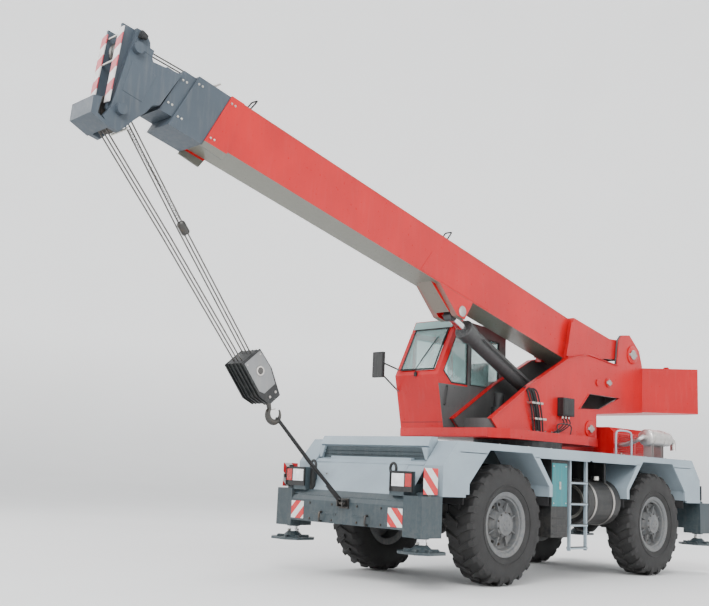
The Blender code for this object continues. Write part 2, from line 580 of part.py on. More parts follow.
def boom_sections(base, section_2, section_3, tip, paints):
    boom_base(base, paints)
    hub = SECTION_HALF[0] - BOOM_WALL - PIN_CLEARANCE
    drum = turned([(-hub, 0), (-hub, 0.05), (-0.16, 0.05), (-0.16, 0.20), (-0.14, 0.20), (-0.14, 0.13),
                   (0.14, 0.13), (0.14, 0.20), (0.16, 0.20), (0.16, 0.05), (hub, 0.05), (hub, 0)], "X")
    drum_frame = frame_at("winch_axis", world_of_boom(*DRUM_AT), -BOOM_ANGLE, base)
    node("winch_drum", drum_frame, paints["steel"], [drum])
    for index, (frame, name) in enumerate(((section_2, "boom_section_2"), (section_3, "boom_section_3")), 1):
        outer, inner = tube(index)
        front = SECTION_FRONT[index]
        back = SECTION_FRONT[index - 1] + 2 * TOUCH
        low = SECTION_BOTTOM[index] - (0.11 if index == 1 else 0.03)
        high = SECTION_TOP[index] + 0.02
        collar = along([(nose(back, high), high), (nose(front, high), high), (nose(front, low), low),
                        (nose(back, low), low)])
        half = SECTION_HALF[index] + 0.02
        node(name, frame, paints["slate"], [outer, prism(collar, -half, half)], [inner, mouth(index)])
    boom_tip(tip, paints)


def boom_tip(tip, paints):
    outer, inner = tube(3)
    neck = nose(SECTION_FRONT[2], -0.12) + 0.01
    cheek = along([(neck, -0.12), (9.53, -0.18), (9.60, -0.09), (9.63, 0.0), (9.71, 0.07), (9.82, 0.06),
                   (9.82, -0.90), (9.87, -1.02), (9.785, -1.087), (9.651, -1.086), (9.542, -0.895),
                   (9.436, -0.736), (9.39, -0.623), (neck + 0.14, -0.58)])
    lug = along([(9.55, -0.20), (9.63, 0.0), (9.71, 0.07), (9.96, 0.055), (9.93, -0.20), (9.84, -0.90),
                 (9.70, -0.98), (9.50, -0.60)])
    bridge = along([(neck + 0.01, -0.14), (9.50, -0.20), (9.50, -0.56), (neck + 0.13, -0.54)])
    guard = along([(9.94, -0.84), (10.03, -0.87), (10.00, -1.05), (9.77, -1.10), (9.77, -1.07), (9.93, -1.02)])
    add = [outer]
    add += both(prism(cheek, LUG_OUTER - 0.005, CHEEK_OUTER))
    add += both(prism(lug, LUG_INNER, LUG_OUTER))
    add += [prism(bridge, -CHEEK_INNER, CHEEK_INNER)]
    add += [prism(guard, -CHEEK_OUTER, CHEEK_OUTER)]
    for s, t in (UPPER_SHEAVE, LOWER_SHEAVE):
        add += both(rod(CHEEK_OUTER - 0.02, CHEEK_OUTER + 0.06, 0.06, "X", (0, -s, t)))
    node("boom_tip", tip, paints["slate"], add, [inner])
    for name, (s, t), radius in (("upper_sheaves", UPPER_SHEAVE, 0.15), ("lower_sheaves", LOWER_SHEAVE, SHEAVE_RADIUS)):
        reach = LUG_INNER - 0.0005
        profile = [(-reach, 0), (-reach, 0.06), (-0.10, 0.06), (-0.10, radius)]
        for groove in (-0.067, 0.0, 0.067):
            profile += [(groove - 0.026, radius), (groove, radius - 0.035), (groove + 0.026, radius)]
        profile += [(0.10, radius), (0.10, 0.06), (reach, 0.06), (reach, 0)]
        node(name, tip, paints["black"], [turned(profile, "X", (0, -s, t), 2 * SEGMENTS)])


def world_of_boom(s, t, x=0.0):
    y, z = boom_point(s, t)
    return x, SLEW_Y + y, z


def lift_geometry():
    """The lift cylinder's angle above level and its length from pin to eye, at rest."""
    y, z = boom_point(EYE_S, EYE_T)
    run, rise = LIFT_DY - y, z - EYE_DROP - LIFT_Z
    return math.degrees(math.atan2(rise, run)), math.hypot(run, rise)


def lift_cylinder(top, paints):
    angle, length = lift_geometry()
    pin = frame_at("lift_pin", (0, SLEW_Y + LIFT_DY, LIFT_Z), -angle, top)
    end = length - ROD_SHOWING
    barrel = turned([(-0.10, 0), (-0.10, BARREL_RADIUS), (-end, BARREL_RADIUS), (-end, 0)], "Y")
    collar = turned([(-end + 0.16, 0), (-end + 0.16, COLLAR_RADIUS), (-end, COLLAR_RADIUS), (-end, 0)], "Y")
    lug = rod(-0.09, 0.09, 0.115, "X")
    bore = turned([(-0.12, 0), (-0.12, ROD_RADIUS + RUNNING), (-length, ROD_RADIUS + RUNNING), (-length, 0)], "Y")
    hole = rod(-0.2, 0.2, LIFT_PIN_RADIUS + PIN_CLEARANCE, "X")
    node("lift_barrel", pin, paints["cylinder_grey"], [barrel, collar, lug], [bore, hole])
    shaft = turned([(-0.46, 0), (-0.46, ROD_RADIUS), (-length + 0.02, ROD_RADIUS), (-length + 0.02, 0)], "Y")
    eye = rod(-0.07, 0.07, EYE_RADIUS, "X", (0, -length, 0))
    node("lift_rod", pin, paints["chrome"], [shaft, eye])


# ---------------------------------------------------------------- hook
def hook_and_falls(tip, paints):
    """The falls hang from the lower sheaves' pin; -Z of their frame runs down the rope."""
    hang = frame_at("falls_pin", world_of_boom(*LOWER_SHEAVE), FALLS_ANGLE, tip)
    falls = box((-0.10, 0.10), (-0.12, 0.12), (-BLOCK_TOP + TOUCH, -SHEAVE_RADIUS - TOUCH))
    node("hoist_falls", hang, paints["rope"], [falls])
    cheek = [(-0.155, -BLOCK_TOP), (0.155, -BLOCK_TOP), (0.165, -BLOCK_TOP - 0.28), (0.08, -BLOCK_BOTTOM),
             (-0.08, -BLOCK_BOTTOM), (-0.155, -BLOCK_BOTTOM + 0.14)]
    core = [(y * 0.86, z) for y, z in cheek]
    block = [prism(core, -BLOCK_HALF + 0.02, BLOCK_HALF - 0.02)]
    block += both(prism(cheek, BLOCK_HALF - 0.04, BLOCK_HALF))
    node("hook_block", hang, paints["black"], block)
    centre = Vector((0.0, -BLOCK_BOTTOM - 0.20))
    outer, inner, sides = 0.125, 0.062, 16
    start, sweep = math.radians(90), math.radians(-255)
    outside = [centre + outer * Vector((math.cos(start + sweep * i / sides), math.sin(start + sweep * i / sides)))
               for i in range(sides + 1)]
    inside = [centre + inner * Vector((math.cos(start + sweep * i / sides), math.sin(start + sweep * i / sides)))
              for i in range(sides + 1)]
    bend = [(-y, z) for y, z in [tuple(p) for p in outside] + [tuple(p) for p in reversed(inside)]]
    shank = rod(-BLOCK_BOTTOM - 0.12, -BLOCK_BOTTOM - TOUCH, 0.035, "Z")
    node("hook", hang, paints["black"], [prism(bend, -0.035, 0.035), shank])


# ---------------------------------------------------------------- whole crane
def crane():
    for old in list(bpy.data.objects):
        bpy.data.objects.remove(old, do_unlink=True)
    paints = {
        "red": paint("crane_red", (0.72, 0.01, 0.02), 0.35),
        "slate": paint("slate_grey", (0.16, 0.19, 0.23), 0.5),
        "dark_grey": paint("chassis_grey", (0.06, 0.08, 0.09), 0.5),
        "light_grey": paint("deck_grey", (0.40, 0.47, 0.53), 0.5),
        "black": paint("black_parts", (0.02, 0.02, 0.02), 0.5),
        "cylinder_grey": paint("cylinder_grey", (0.08, 0.08, 0.08), 0.45),
        "chrome": paint("chrome_rod", (0.75, 0.75, 0.75), 0.15, 1.0),
        "steel": paint("bare_steel", (0.45, 0.42, 0.40), 0.4, 0.8),
        "rim_grey": paint("rim_grey", (0.20, 0.21, 0.22), 0.5),
        "rubber": paint("rubber", (0.02, 0.02, 0.02), 0.85),
        "rope": paint("steel_rope", (0.10, 0.10, 0.10), 0.5, 0.8),
        "seat": paint("seat_cloth", (0.03, 0.03, 0.03), 0.9),
    }
    carrier = frame_at("carrier_frame", (0, SLEW_Y, 0))
    chassis(carrier, paints)
    decks(carrier, paints)
    outrigger_boxes(carrier, paints)
    outriggers(carrier, paints)
    side_equipment(carrier, paints)
    axles(carrier, paints)
    top = frame_at("slew_axis", (0, SLEW_Y, 0), parent=carrier)
    turntable(top, paints)
    cab(top, paints)
    pivot = (0, SLEW_Y + PIVOT_DY, PIVOT_Z)
    base = frame_at("luff_pivot", pivot, -BOOM_ANGLE, top)
    section_2 = frame_at("section_2_slide", pivot, -BOOM_ANGLE, base)
    section_3 = frame_at("section_3_slide", pivot, -BOOM_ANGLE, section_2)
    tip = frame_at("tip_slide", pivot, -BOOM_ANGLE, section_3)
    boom_sections(base, section_2, section_3, tip, paints)
    lift_cylinder(top, paints)
    hook_and_falls(tip, paints)


crane()
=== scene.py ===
"""Looks for the mobile crane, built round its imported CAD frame.

Metres, +Z up, the crane faces -Y and its left side is +X. Shapes on the boom are given in the boom's own
axes (x, along, up), measured from its pivot, and shapes on the falls from the lower sheaves' pin.
"""

import math
import random

import bmesh
import bpy
from mathutils import Matrix, Vector


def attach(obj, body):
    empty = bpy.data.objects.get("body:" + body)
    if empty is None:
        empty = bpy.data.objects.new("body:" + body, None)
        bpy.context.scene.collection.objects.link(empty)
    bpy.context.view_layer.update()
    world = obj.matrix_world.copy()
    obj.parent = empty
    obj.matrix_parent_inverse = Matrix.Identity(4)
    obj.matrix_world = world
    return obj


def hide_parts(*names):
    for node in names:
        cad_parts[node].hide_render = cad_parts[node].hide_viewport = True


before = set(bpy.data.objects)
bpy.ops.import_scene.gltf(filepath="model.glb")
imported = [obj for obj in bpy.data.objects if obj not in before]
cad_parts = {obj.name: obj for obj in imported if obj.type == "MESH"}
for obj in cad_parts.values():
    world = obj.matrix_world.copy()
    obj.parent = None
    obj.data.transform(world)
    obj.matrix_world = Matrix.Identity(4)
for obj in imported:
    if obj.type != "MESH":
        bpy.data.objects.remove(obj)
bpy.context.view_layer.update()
rng = random.Random(7)

# ---------------------------------------------------------------- main places, as in the CAD
SLEW_Y = 1.89
AXLE_DY = 1.80
TYRE_RADIUS, TYRE_WIDTH = 0.7403, 0.43
WHEEL_X, WHEEL_Z = 1.0, 0.745
DECK_TOP = 1.72
FRONT = SLEW_Y - 3.452
REAR = SLEW_Y + 3.452
PIVOT = Vector((0, SLEW_Y + 2.59, 3.40))
BOOM_ANGLE = math.radians(13.4)
FALLS_ANGLE = math.radians(40)
LIFT_PIN = Vector((0, SLEW_Y + 1.35, 2.12))
BOOM = Matrix.Translation(PIVOT) @ Matrix.Rotation(-BOOM_ANGLE, 4, "X")
UPPER_SHEAVE = Vector((0, -9.75, -0.153))
LOWER_SHEAVE = Vector((0, -9.72, -0.867))
FALLS = Matrix.Translation(BOOM @ LOWER_SHEAVE) @ Matrix.Rotation(FALLS_ANGLE, 4, "X")
CARRIER = Matrix.Translation((0, SLEW_Y, 0))
TOP = CARRIER
BLOCK_TOP, BLOCK_BOTTOM = 2.99, 3.58
CAB_RIGHT, CAB_LEFT = -1.20, -0.38


# ---------------------------------------------------------------- shapes
def prism(outline, low, high, axis="X"):
    """An outline pulled along an axis. X takes (y, z) points, Y takes (x, z) and Z takes (x, y)."""
    place = {
        "X": lambda a, b, w: (w, a, b),
        "Y": lambda a, b, w: (a, w, b),
        "Z": lambda a, b, w: (a, b, w),
    }[axis]
    count = len(outline)
    points = [place(a, b, w) for w in (low, high) for a, b in outline]
    faces = [tuple(range(count)), tuple(range(2 * count - 1, count - 1, -1))]
    faces += [(i, (i + 1) % count, count + (i + 1) % count, count + i) for i in range(count)]
    return points, faces


def box(x, y, z):
    return prism([(x[0], y[0]), (x[1], y[0]), (x[1], y[1]), (x[0], y[1])], z[0], z[1], "Z")


def turned(profile, axis="X", at=(0, 0, 0), sides=48):
    """A closed (along, radius) profile turned about an axis through a point."""
    place = {
        "X": lambda w, a, b: (w, a, b),
        "Y": lambda w, a, b: (a, w, b),
        "Z": lambda w, a, b: (a, b, w),
    }[axis]
    points, rings = [], []
    for along, radius in profile:
        start = len(points)
        if radius < 1e-6:
            points.append(place(along, 0.0, 0.0))
            rings.append([start] * sides)
            continue
        for i in range(sides):
            angle = 2 * math.pi * (i + 0.5) / sides
            points.append(place(along, radius * math.cos(angle), radius * math.sin(angle)))
        rings.append(list(range(start, start + sides)))
    faces = []
    for near, far in zip(rings, rings[1:] + rings[:1]):
        for i in range(sides):
            j = (i + 1) % sides
            corners = []
            for corner in (near[i], near[j], far[j], far[i]):
                if corner not in corners:
                    corners.append(corner)
            if len(corners) > 2:
                faces.append(tuple(corners))
    return [tuple(Vector(p) + Vector(at)) for p in points], faces


def rod(start, end, radius, axis="X", at=(0, 0, 0), sides=32):
    """A round bar with a small chamfer at both ends."""
    edge = min(0.006, radius * 0.3, abs(end - start) * 0.3)
    step = edge if end > start else -edge
    return turned([(start, 0), (start, radius - edge), (start + step, radius), (end - step, radius),
                   (end, radius - edge), (end, 0)], axis, at, sides)


def bolts(points, radius, height, axis="X", out=1):
    """Hexagon bolt heads on washers, standing out along an axis from each point."""
    made = []
    for point in points:
        made.append(turned([(0, 0), (0, radius * 1.35), (out * height * 0.25, radius * 1.35),
                            (out * height * 0.25, 0)], axis, point, 16))
        made.append(turned([(0, 0), (0, radius), (out * height * 0.85, radius),
                            (out * height, radius * 0.8), (out * height, 0)], axis, point, 6))
    return made


def ring_of(count, radius, at, axis="X", start=0.0):
    """Points evenly spaced on a circle round an axis."""
    points = []
    for i in range(count):
        angle = start + 2 * math.pi * i / count
        a, b = radius * math.cos(angle), radius * math.sin(angle)
        offset = {"X": (0, a, b), "Y": (a, 0, b), "Z": (a, b, 0)}[axis]
        points.append(tuple(Vector(at) + Vector(offset)))
    return points


def tube(path, radius, sides=10):
    """A round tube along a list of points, with closed ends."""
    path = [Vector(p) for p in path]
    points, faces = [], []
    side = None
    for i, point in enumerate(path):
        ahead = (path[min(i + 1, len(path) - 1)] - path[max(i - 1, 0)]).normalized()
        if side is None:
            side = ahead.orthogonal().normalized()
        side = (side - ahead * side.dot(ahead)).normalized()
        up = ahead.cross(side)
        for k in range(sides):
            angle = 2 * math.pi * k / sides
            points.append(tuple(point + radius * (math.cos(angle) * side + math.sin(angle) * up)))
        if i:
            base = (i - 1) * sides
            for k in range(sides):
                n = (k + 1) % sides
                faces.append((base + k, base + n, base + sides + n, base + sides + k))
    faces.append(tuple(range(sides - 1, -1, -1)))
    faces.append(tuple(range(len(points) - sides, len(points))))
    return points, faces


def smooth_path(points, steps=8):
    """A Catmull-Rom curve through the points."""
    points = [Vector(p) for p in points]
    ends = [points[0] * 2 - points[1]] + points + [points[-1] * 2 - points[-2]]
    path = []
    for a, b, c, d in zip(ends, ends[1:], ends[2:], ends[3:]):
        for i in range(steps):
            t = i / steps
            path.append(0.5 * ((2 * b) + (c - a) * t + (2 * a - 5 * b + 4 * c - d) * t ** 2
                               + (3 * b - a - 3 * c + d) * t ** 3))
    return path + [points[-1]]


def mirrored(shape):
    points, faces = shape
    return [(-x, y, z) for x, y, z in points], faces


def both(*shapes):
    """The shapes and their mirror images across the centre line."""
    return [item for shape in shapes for item in (shape, mirrored(shape))]


def moved(shape, matrix):
    points, faces = shape
    return [tuple(matrix @ Vector(p)) for p in points], faces


def shifted(shape, dx=0.0, dy=0.0, dz=0.0):
    return moved(shape, Matrix.Translation((dx, dy, dz)))


def along(outline):
    """(s, t) boom points as (y, z) in the boom's axes."""
    return [(-s, t) for s, t in outline]


def make(name, body, material, shapes, place=None, bevel=0.004, replaces=(), smooth=40, rides=True):
    """One visible piece from several closed shapes, set on its CAD body."""
    points, faces = [], []
    for shape_points, shape_faces in shapes:
        base = len(points)
        points += shape_points
        faces += [tuple(base + i for i in face) for face in shape_faces]
    mesh = bpy.data.meshes.new(name)
    mesh.from_pydata([tuple(place @ Vector(p)) if place else p for p in points], [], faces)
    work = bmesh.new()
    work.from_mesh(mesh)
    bmesh.ops.recalc_face_normals(work, faces=work.faces)
    work.to_mesh(mesh)
    work.free()
    mesh.materials.append(material)
    mesh.shade_smooth()
    mesh.set_sharp_from_angle(angle=math.radians(smooth))
    made = bpy.data.objects.new(name, mesh)
    bpy.context.scene.collection.objects.link(made)
    if bevel:
        soften(made, bevel)
    if rides:
        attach(made, body)
    if replaces:
        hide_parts(*replaces)
    return made


def soften(made, width, angle=35):
    """Small rounded edges, so that they catch the light."""
    edge = made.modifiers.new("soft_edges", "BEVEL")
    edge.width = width
    edge.segments = 2
    edge.limit_method = "ANGLE"
    edge.angle_limit = math.radians(angle)
    edge.harden_normals = True
    edge.use_clamp_overlap = True


# ---------------------------------------------------------------- materials
class Nodes:
    """Short calls for building one material's nodes."""

    def __init__(self, name):
        self.material = bpy.data.materials.new(name)
        self.material.use_nodes = True
        self.tree = self.material.node_tree
        self.shader = self.tree.nodes["Principled BSDF"]
        self.place = self.add("ShaderNodeTexCoord").outputs["Object"]

    def add(self, kind, **settings):
        made = self.tree.nodes.new(kind)
        for key, value in settings.items():
            setattr(made, key, value)
        return made

    def link(self, source, target):
        self.tree.links.new(source, target)

    def noise(self, scale, detail=4.0, rough=0.55, stretch=None):
        made = self.add("ShaderNodeTexNoise")
        made.inputs["Scale"].default_value = scale
        made.inputs["Detail"].default_value = detail
        made.inputs["Roughness"].default_value = rough
        source = self.place
        if stretch:
            mapping = self.add("ShaderNodeMapping")
            mapping.inputs["Scale"].default_value = stretch
            self.link(source, mapping.inputs["Vector"])
            source = mapping.outputs["Vector"]
        self.link(source, made.inputs["Vector"])
        return made.outputs["Fac"]

    def ramp(self, source, low, high, start=0.0, end=1.0):
        """source between low and high, mapped to start and end."""
        made = self.add("ShaderNodeMapRange")
        for key, value in (("From Min", low), ("From Max", high), ("To Min", start), ("To Max", end)):
            made.inputs[key].default_value = value
        self.link(source, made.inputs["Value"])
        return made.outputs["Result"]

    def maths(self, kind, a, b):
        made = self.add("ShaderNodeMath", operation=kind)
        for socket, value in zip(made.inputs, (a, b)):
            if isinstance(value, (int, float)):
                socket.default_value = value
            else:
                self.link(value, socket)
        return made.outputs[0]

    def mix(self, factor, a, b):
        made = self.add("ShaderNodeMix", data_type="RGBA")
        for socket, value in ((made.inputs[0], factor), (made.inputs[6], a), (made.inputs[7], b)):
            if isinstance(value, (int, float)):
                socket.default_value = value
            elif isinstance(value, tuple):
                socket.default_value = (*value, 1.0)
            else:
                self.link(value, socket)
        return made.outputs[2]

    def bump(self, height, strength, distance):
        made = self.add("ShaderNodeBump")
        made.inputs["Strength"].default_value = strength
        made.inputs["Distance"].default_value = distance
        self.link(height, made.inputs["Height"])
        self.link(made.outputs["Normal"], self.shader.inputs["Normal"])

    def split(self):
        return self.add_linked("ShaderNodeSeparateXYZ", self.place)

    def facing(self):
        return self.add_linked("ShaderNodeSeparateXYZ", self.add("ShaderNodeTexCoord").outputs["Normal"])

    def every(self, *tests):
        """1 where a number is above (or, with a negative sign, below) each limit: (number, sign, limit)."""
        result = 1.0
        for value, sign, limit in tests:
            kind = "GREATER_THAN" if sign > 0 else "LESS_THAN"
            result = self.maths("MULTIPLY", result, self.maths(kind, value, limit))
        return result

    def add_linked(self, kind, source):
        made = self.add(kind)
        self.link(source, made.inputs[0])
        return made


def coat(name, colour, rough=0.35, wear=0.5, dust=0.35, clear=0.0, under=None, parts=()):
    """Sprayed paint: slow colour drift, orange peel, dust that gathers low down, and a few chips. With under, faces
    that look downwards take that colour instead, as painted shade.

    Each of parts is (test, colour): a second paint where the test of the nodes is 1.
    """
    n = Nodes(name)
    slow, fine, peel = n.noise(1.3), n.noise(22.0, 6.0, 0.7), n.noise(260.0, 2.0)
    darker = tuple(c * 0.80 for c in colour)
    base = n.mix(n.ramp(slow, 0.35, 0.7), colour, darker)
    # Faces that look downwards take the under colour: painted shade on undersides.
    if under:
        facing = n.add_linked("ShaderNodeSeparateXYZ", n.add("ShaderNodeTexCoord").outputs["Normal"]).outputs["Z"]
        base = n.mix(n.ramp(facing, -0.55, -0.75), base, under)
    for test, other in parts:
        base = n.mix(test(n), base, other)
    streaks = n.noise(3.0, 5.0, 0.6, (6.0, 6.0, 0.7))
    dusty = n.maths("MULTIPLY", n.ramp(streaks, 0.5, 0.75), dust * 0.5)
    base = n.mix(dusty, base, (0.36, 0.33, 0.29))
    low = n.ramp(n.split().outputs["Z"], 1.5, 0.3, 0.0, dust * 0.9)
    base = n.mix(n.maths("MULTIPLY", low, n.ramp(fine, 0.4, 0.65)), base, (0.30, 0.27, 0.23))
    worn = n.ramp(n.noise(38.0, 3.0, 0.5), 0.735, 0.76, 0.0, wear)
    base = n.mix(worn, base, (0.16, 0.15, 0.14))
    n.link(base, n.shader.inputs["Base Color"])
    n.link(n.ramp(n.maths("ADD", fine, dusty), 0.3, 0.9, rough - 0.05, rough + 0.22), n.shader.inputs["Roughness"])
    n.shader.inputs["Specular IOR Level"].default_value = 0.35
    n.shader.inputs["Coat Weight"].default_value = clear
    n.shader.inputs["Coat Roughness"].default_value = 0.12
    n.bump(n.maths("ADD", peel, n.maths("MULTIPLY", fine, 0.6)), 0.12, 0.002)
    return n.material


def metal(name, colour, rough=0.3, brushed=(1, 1, 1), stain=(0.25, 0.18, 0.12), staining=0.3):
    """Bare or plated metal with fine scratches and some staining."""
    n = Nodes(name)
    scratch, spots = n.noise(120.0, 3.0, 0.6, brushed), n.noise(9.0, 6.0, 0.7)
    base = n.mix(n.ramp(scratch, 0.3, 0.7), colour, tuple(c * 0.8 for c in colour))
    base = n.mix(n.ramp(spots, 0.52, 0.75, 0.0, staining), base, stain)
    n.link(base, n.shader.inputs["Base Color"])
    n.link(n.ramp(n.maths("ADD", scratch, spots), 0.7, 1.3, rough - 0.08, rough + 0.2), n.shader.inputs["Roughness"])
    n.shader.inputs["Metallic"].default_value = 1.0
    n.bump(scratch, 0.15, 0.001)
    return n.material


def rubber(name, colour=(0.020, 0.020, 0.021), dust=0.5):
    n = Nodes(name)
    fine, slow = n.noise(60.0, 6.0, 0.7), n.noise(5.0, 4.0)
    base = n.mix(n.ramp(slow, 0.35, 0.7), colour, tuple(c * 1.7 for c in colour))
    base = n.mix(n.maths("MULTIPLY", n.ramp(fine, 0.45, 0.7), dust * 0.35), base, (0.20, 0.18, 0.155))
    n.link(base, n.shader.inputs["Base Color"])
    n.link(n.ramp(fine, 0.3, 0.7, 0.68, 0.92), n.shader.inputs["Roughness"])
    n.bump(fine, 0.35, 0.003)
    return n.material


def glass(name, tint=(0.10, 0.34, 0.36)):
    """Tinted toughened glass with a slight waviness and dust."""
    n = Nodes(name)
    wave, dust = n.noise(2.0, 2.0), n.noise(35.0, 6.0, 0.7)
    n.link(n.mix(n.ramp(dust, 0.5, 0.8, 0.0, 0.25), tint, (0.45, 0.48, 0.47)), n.shader.inputs["Base Color"])
    n.link(n.ramp(dust, 0.4, 0.8, 0.03, 0.16), n.shader.inputs["Roughness"])
    n.shader.inputs["Transmission Weight"].default_value = 0.55
    n.shader.inputs["IOR"].default_value = 1.45
    n.shader.inputs["Alpha"].default_value = 0.42
    n.bump(wave, 0.05, 0.01)
    return n.material


def lens(name, colour, glow=0.0):
    """A moulded lamp lens with fine ribs."""
    n = Nodes(name)
    ribs = n.add("ShaderNodeTexWave", wave_type="BANDS", bands_direction="X")
    ribs.inputs["Scale"].default_value = 22.0
    n.link(n.place, ribs.inputs["Vector"])
    dirt = n.noise(30.0, 5.0)
    n.link(n.mix(n.ramp(dirt, 0.5, 0.8, 0.0, 0.3), colour, tuple(c * 0.45 for c in colour)), n.shader.inputs["Base Color"])
    n.link(n.ramp(dirt, 0.3, 0.8, 0.08, 0.3), n.shader.inputs["Roughness"])
    n.shader.inputs["Coat Weight"].default_value = 0.6
    n.shader.inputs["Specular IOR Level"].default_value = 0.7
    n.bump(ribs.outputs["Fac"], 0.4, 0.003)
    return n.material


def stripes(name, first, second, width, direction):
    """Diagonal warning bands of two paints, in the piece's own axes."""
    n = Nodes(name)
    dot = n.add("ShaderNodeVectorMath", operation="DOT_PRODUCT")
    n.link(n.place, dot.inputs[0])
    dot.inputs[1].default_value = Vector(direction).normalized() / (2 * width)
    band = n.maths("GREATER_THAN", n.maths("FRACT", dot.outputs["Value"], 0.0), 0.5)
    grime = n.noise(14.0, 6.0, 0.7)
    base = n.mix(band, first, second)
    base = n.mix(n.ramp(grime, 0.5, 0.8, 0.0, 0.45), base, (0.25, 0.22, 0.19))
    n.link(base, n.shader.inputs["Base Color"])
    n.link(n.ramp(grime, 0.3, 0.8, 0.3, 0.6), n.shader.inputs["Roughness"])
    n.bump(n.noise(200.0, 2.0), 0.1, 0.001)
    return n.material


def rope_lay(name):
    """Greased wire rope: strands that wind round it."""
    n = Nodes(name)
    wave = n.add("ShaderNodeTexWave", wave_type="BANDS", bands_direction="DIAGONAL")
    wave.inputs["Scale"].default_value = 26.0
    wave.inputs["Distortion"].default_value = 0.6
    n.link(n.place, wave.inputs["Vector"])
    spots = n.noise(18.0, 5.0)
    base = n.mix(wave.outputs["Fac"], (0.035, 0.033, 0.030), (0.20, 0.19, 0.18))
    n.link(n.mix(n.ramp(spots, 0.5, 0.8, 0.0, 0.5), base, (0.03, 0.025, 0.02)), n.shader.inputs["Base Color"])
    n.link(n.ramp(spots, 0.3, 0.7, 0.35, 0.6), n.shader.inputs["Roughness"])
    n.shader.inputs["Metallic"].default_value = 0.7
    n.bump(wave.outputs["Fac"], 0.8, 0.004)
    return n.material


def tread_plate(name, colour):
    """Painted chequer plate: short raised bars in two directions."""
    n = Nodes(name)
    bars = []
    for turn in (45, -45):
        mapping = n.add("ShaderNodeMapping")
        mapping.inputs["Rotation"].default_value = (0, 0, math.radians(turn))
        mapping.inputs["Scale"].default_value = (28.0, 9.0, 1.0)
        n.link(n.place, mapping.inputs["Vector"])
        cells = n.add("ShaderNodeTexVoronoi", feature="F1", voronoi_dimensions="2D")
        cells.inputs["Scale"].default_value = 1.0
        cells.inputs["Randomness"].default_value = 0.0
        n.link(mapping.outputs["Vector"], cells.inputs["Vector"])
        bars.append(n.ramp(cells.outputs["Distance"], 0.28, 0.16))
    height = n.maths("MAXIMUM", *bars)
    dirt, slow = n.noise(16.0, 6.0, 0.7), n.noise(1.1)
    base = n.mix(n.ramp(slow, 0.35, 0.7), colour, tuple(c * 0.8 for c in colour))
    base = n.mix(n.ramp(dirt, 0.45, 0.75, 0.0, 0.6), base, (0.26, 0.24, 0.21))
    base = n.mix(n.maths("MULTIPLY", height, n.ramp(dirt, 0.4, 0.6, 0.0, 0.35)), base, (0.50, 0.50, 0.50))
    n.link(base, n.shader.inputs["Base Color"])
    n.link(n.ramp(dirt, 0.3, 0.8, 0.4, 0.75), n.shader.inputs["Roughness"])
    n.bump(height, 0.7, 0.003)
    return n.material


def cloth(name, colour):
    """Woven seat cloth."""
    n = Nodes(name)
    weave = []
    for direction in ("X", "Y"):
        wave = n.add("ShaderNodeTexWave", wave_type="BANDS", bands_direction=direction)
        wave.inputs["Scale"].default_value = 160.0
        n.link(n.place, wave.inputs["Vector"])
        weave.append(wave.outputs["Fac"])
    height = n.maths("MULTIPLY", *weave)
    slow = n.noise(6.0)
    n.link(n.mix(n.maths("MULTIPLY", height, n.ramp(slow, 0.2, 0.8)), colour, tuple(c * 2.2 for c in colour)),
           n.shader.inputs["Base Color"])
    n.shader.inputs["Roughness"].default_value = 0.92
    n.shader.inputs["Sheen Weight"].default_value = 0.3
    n.bump(height, 0.5, 0.001)
    return n.material


def studio_floor(name):
    n = Nodes(name)
    soft = n.noise(0.25, 3.0)
    n.link(n.mix(n.ramp(soft, 0.3, 0.7), (0.86, 0.86, 0.855), (0.83, 0.83, 0.825)), n.shader.inputs["Base Color"])
    n.shader.inputs["Roughness"].default_value = 0.9
    n.shader.inputs["Emission Color"].default_value = (1.0, 1.0, 1.0, 1.0)
    n.link(n.ramp(n.split().outputs["Z"], 0.0, 9.0, 0.0, 0.62), n.shader.inputs["Emission Strength"])
    return n.material


RED = (0.52, 0.0, 0.004)
GREY = (0.075, 0.077, 0.077)


def between_plates(n):
    """The turntable's floor and the inner faces of its side plates."""
    at = n.split()
    return n.every((n.maths("ABSOLUTE", at.outputs["X"], 0.0), -1, 0.345), (at.outputs["Z"], 1, 1.985))


def cab_side(n):
    """The cab's left flank below and behind the windows."""
    at = n.split()
    low = n.every((at.outputs["X"], 1, CAB_LEFT - 0.005), (at.outputs["Z"], -1, 2.60))
    rear = n.every((at.outputs["X"], 1, CAB_LEFT - 0.005), (at.outputs["Y"], 1, SLEW_Y - 0.715))
    return n.maths("MAXIMUM", low, rear)


def cab_inside(n):
    """The cab's lining."""
    at, facing = n.split(), n.facing()
    x, y, z = (at.outputs[axis] for axis in "XYZ")
    room = n.every((x, 1, CAB_RIGHT + 0.012), (x, -1, CAB_LEFT - 0.012), (z, 1, 1.99), (z, -1, 3.545),
                   (y, -1, SLEW_Y + 0.175))
    front = n.every((facing.outputs["Y"], -1, -0.3), (y, -1, SLEW_Y - 0.90))
    roof = n.every((facing.outputs["Z"], 1, 0.3), (z, 1, 3.40))
    outside = n.maths("MAXIMUM", front, roof)
    return n.maths("MULTIPLY", room, n.maths("SUBTRACT", 1.0, outside))


def boom_lip(n):
    """The plate under the mouth of the boom's first section."""
    at = n.split()
    y = n.maths("SUBTRACT", at.outputs["Y"], PIVOT.y)
    z = n.maths("SUBTRACT", at.outputs["Z"], PIVOT.z)
    up = n.maths("ADD", n.maths("MULTIPLY", y, math.sin(BOOM_ANGLE)), n.maths("MULTIPLY", z, math.cos(BOOM_ANGLE)))
    return n.every((up, -1, -0.668), (at.outputs["Y"], -1, PIVOT.y - 7.4))


def mirror_arm(n):
    return n.every((n.split().outputs["Y"], -1, SLEW_Y - 1.40))


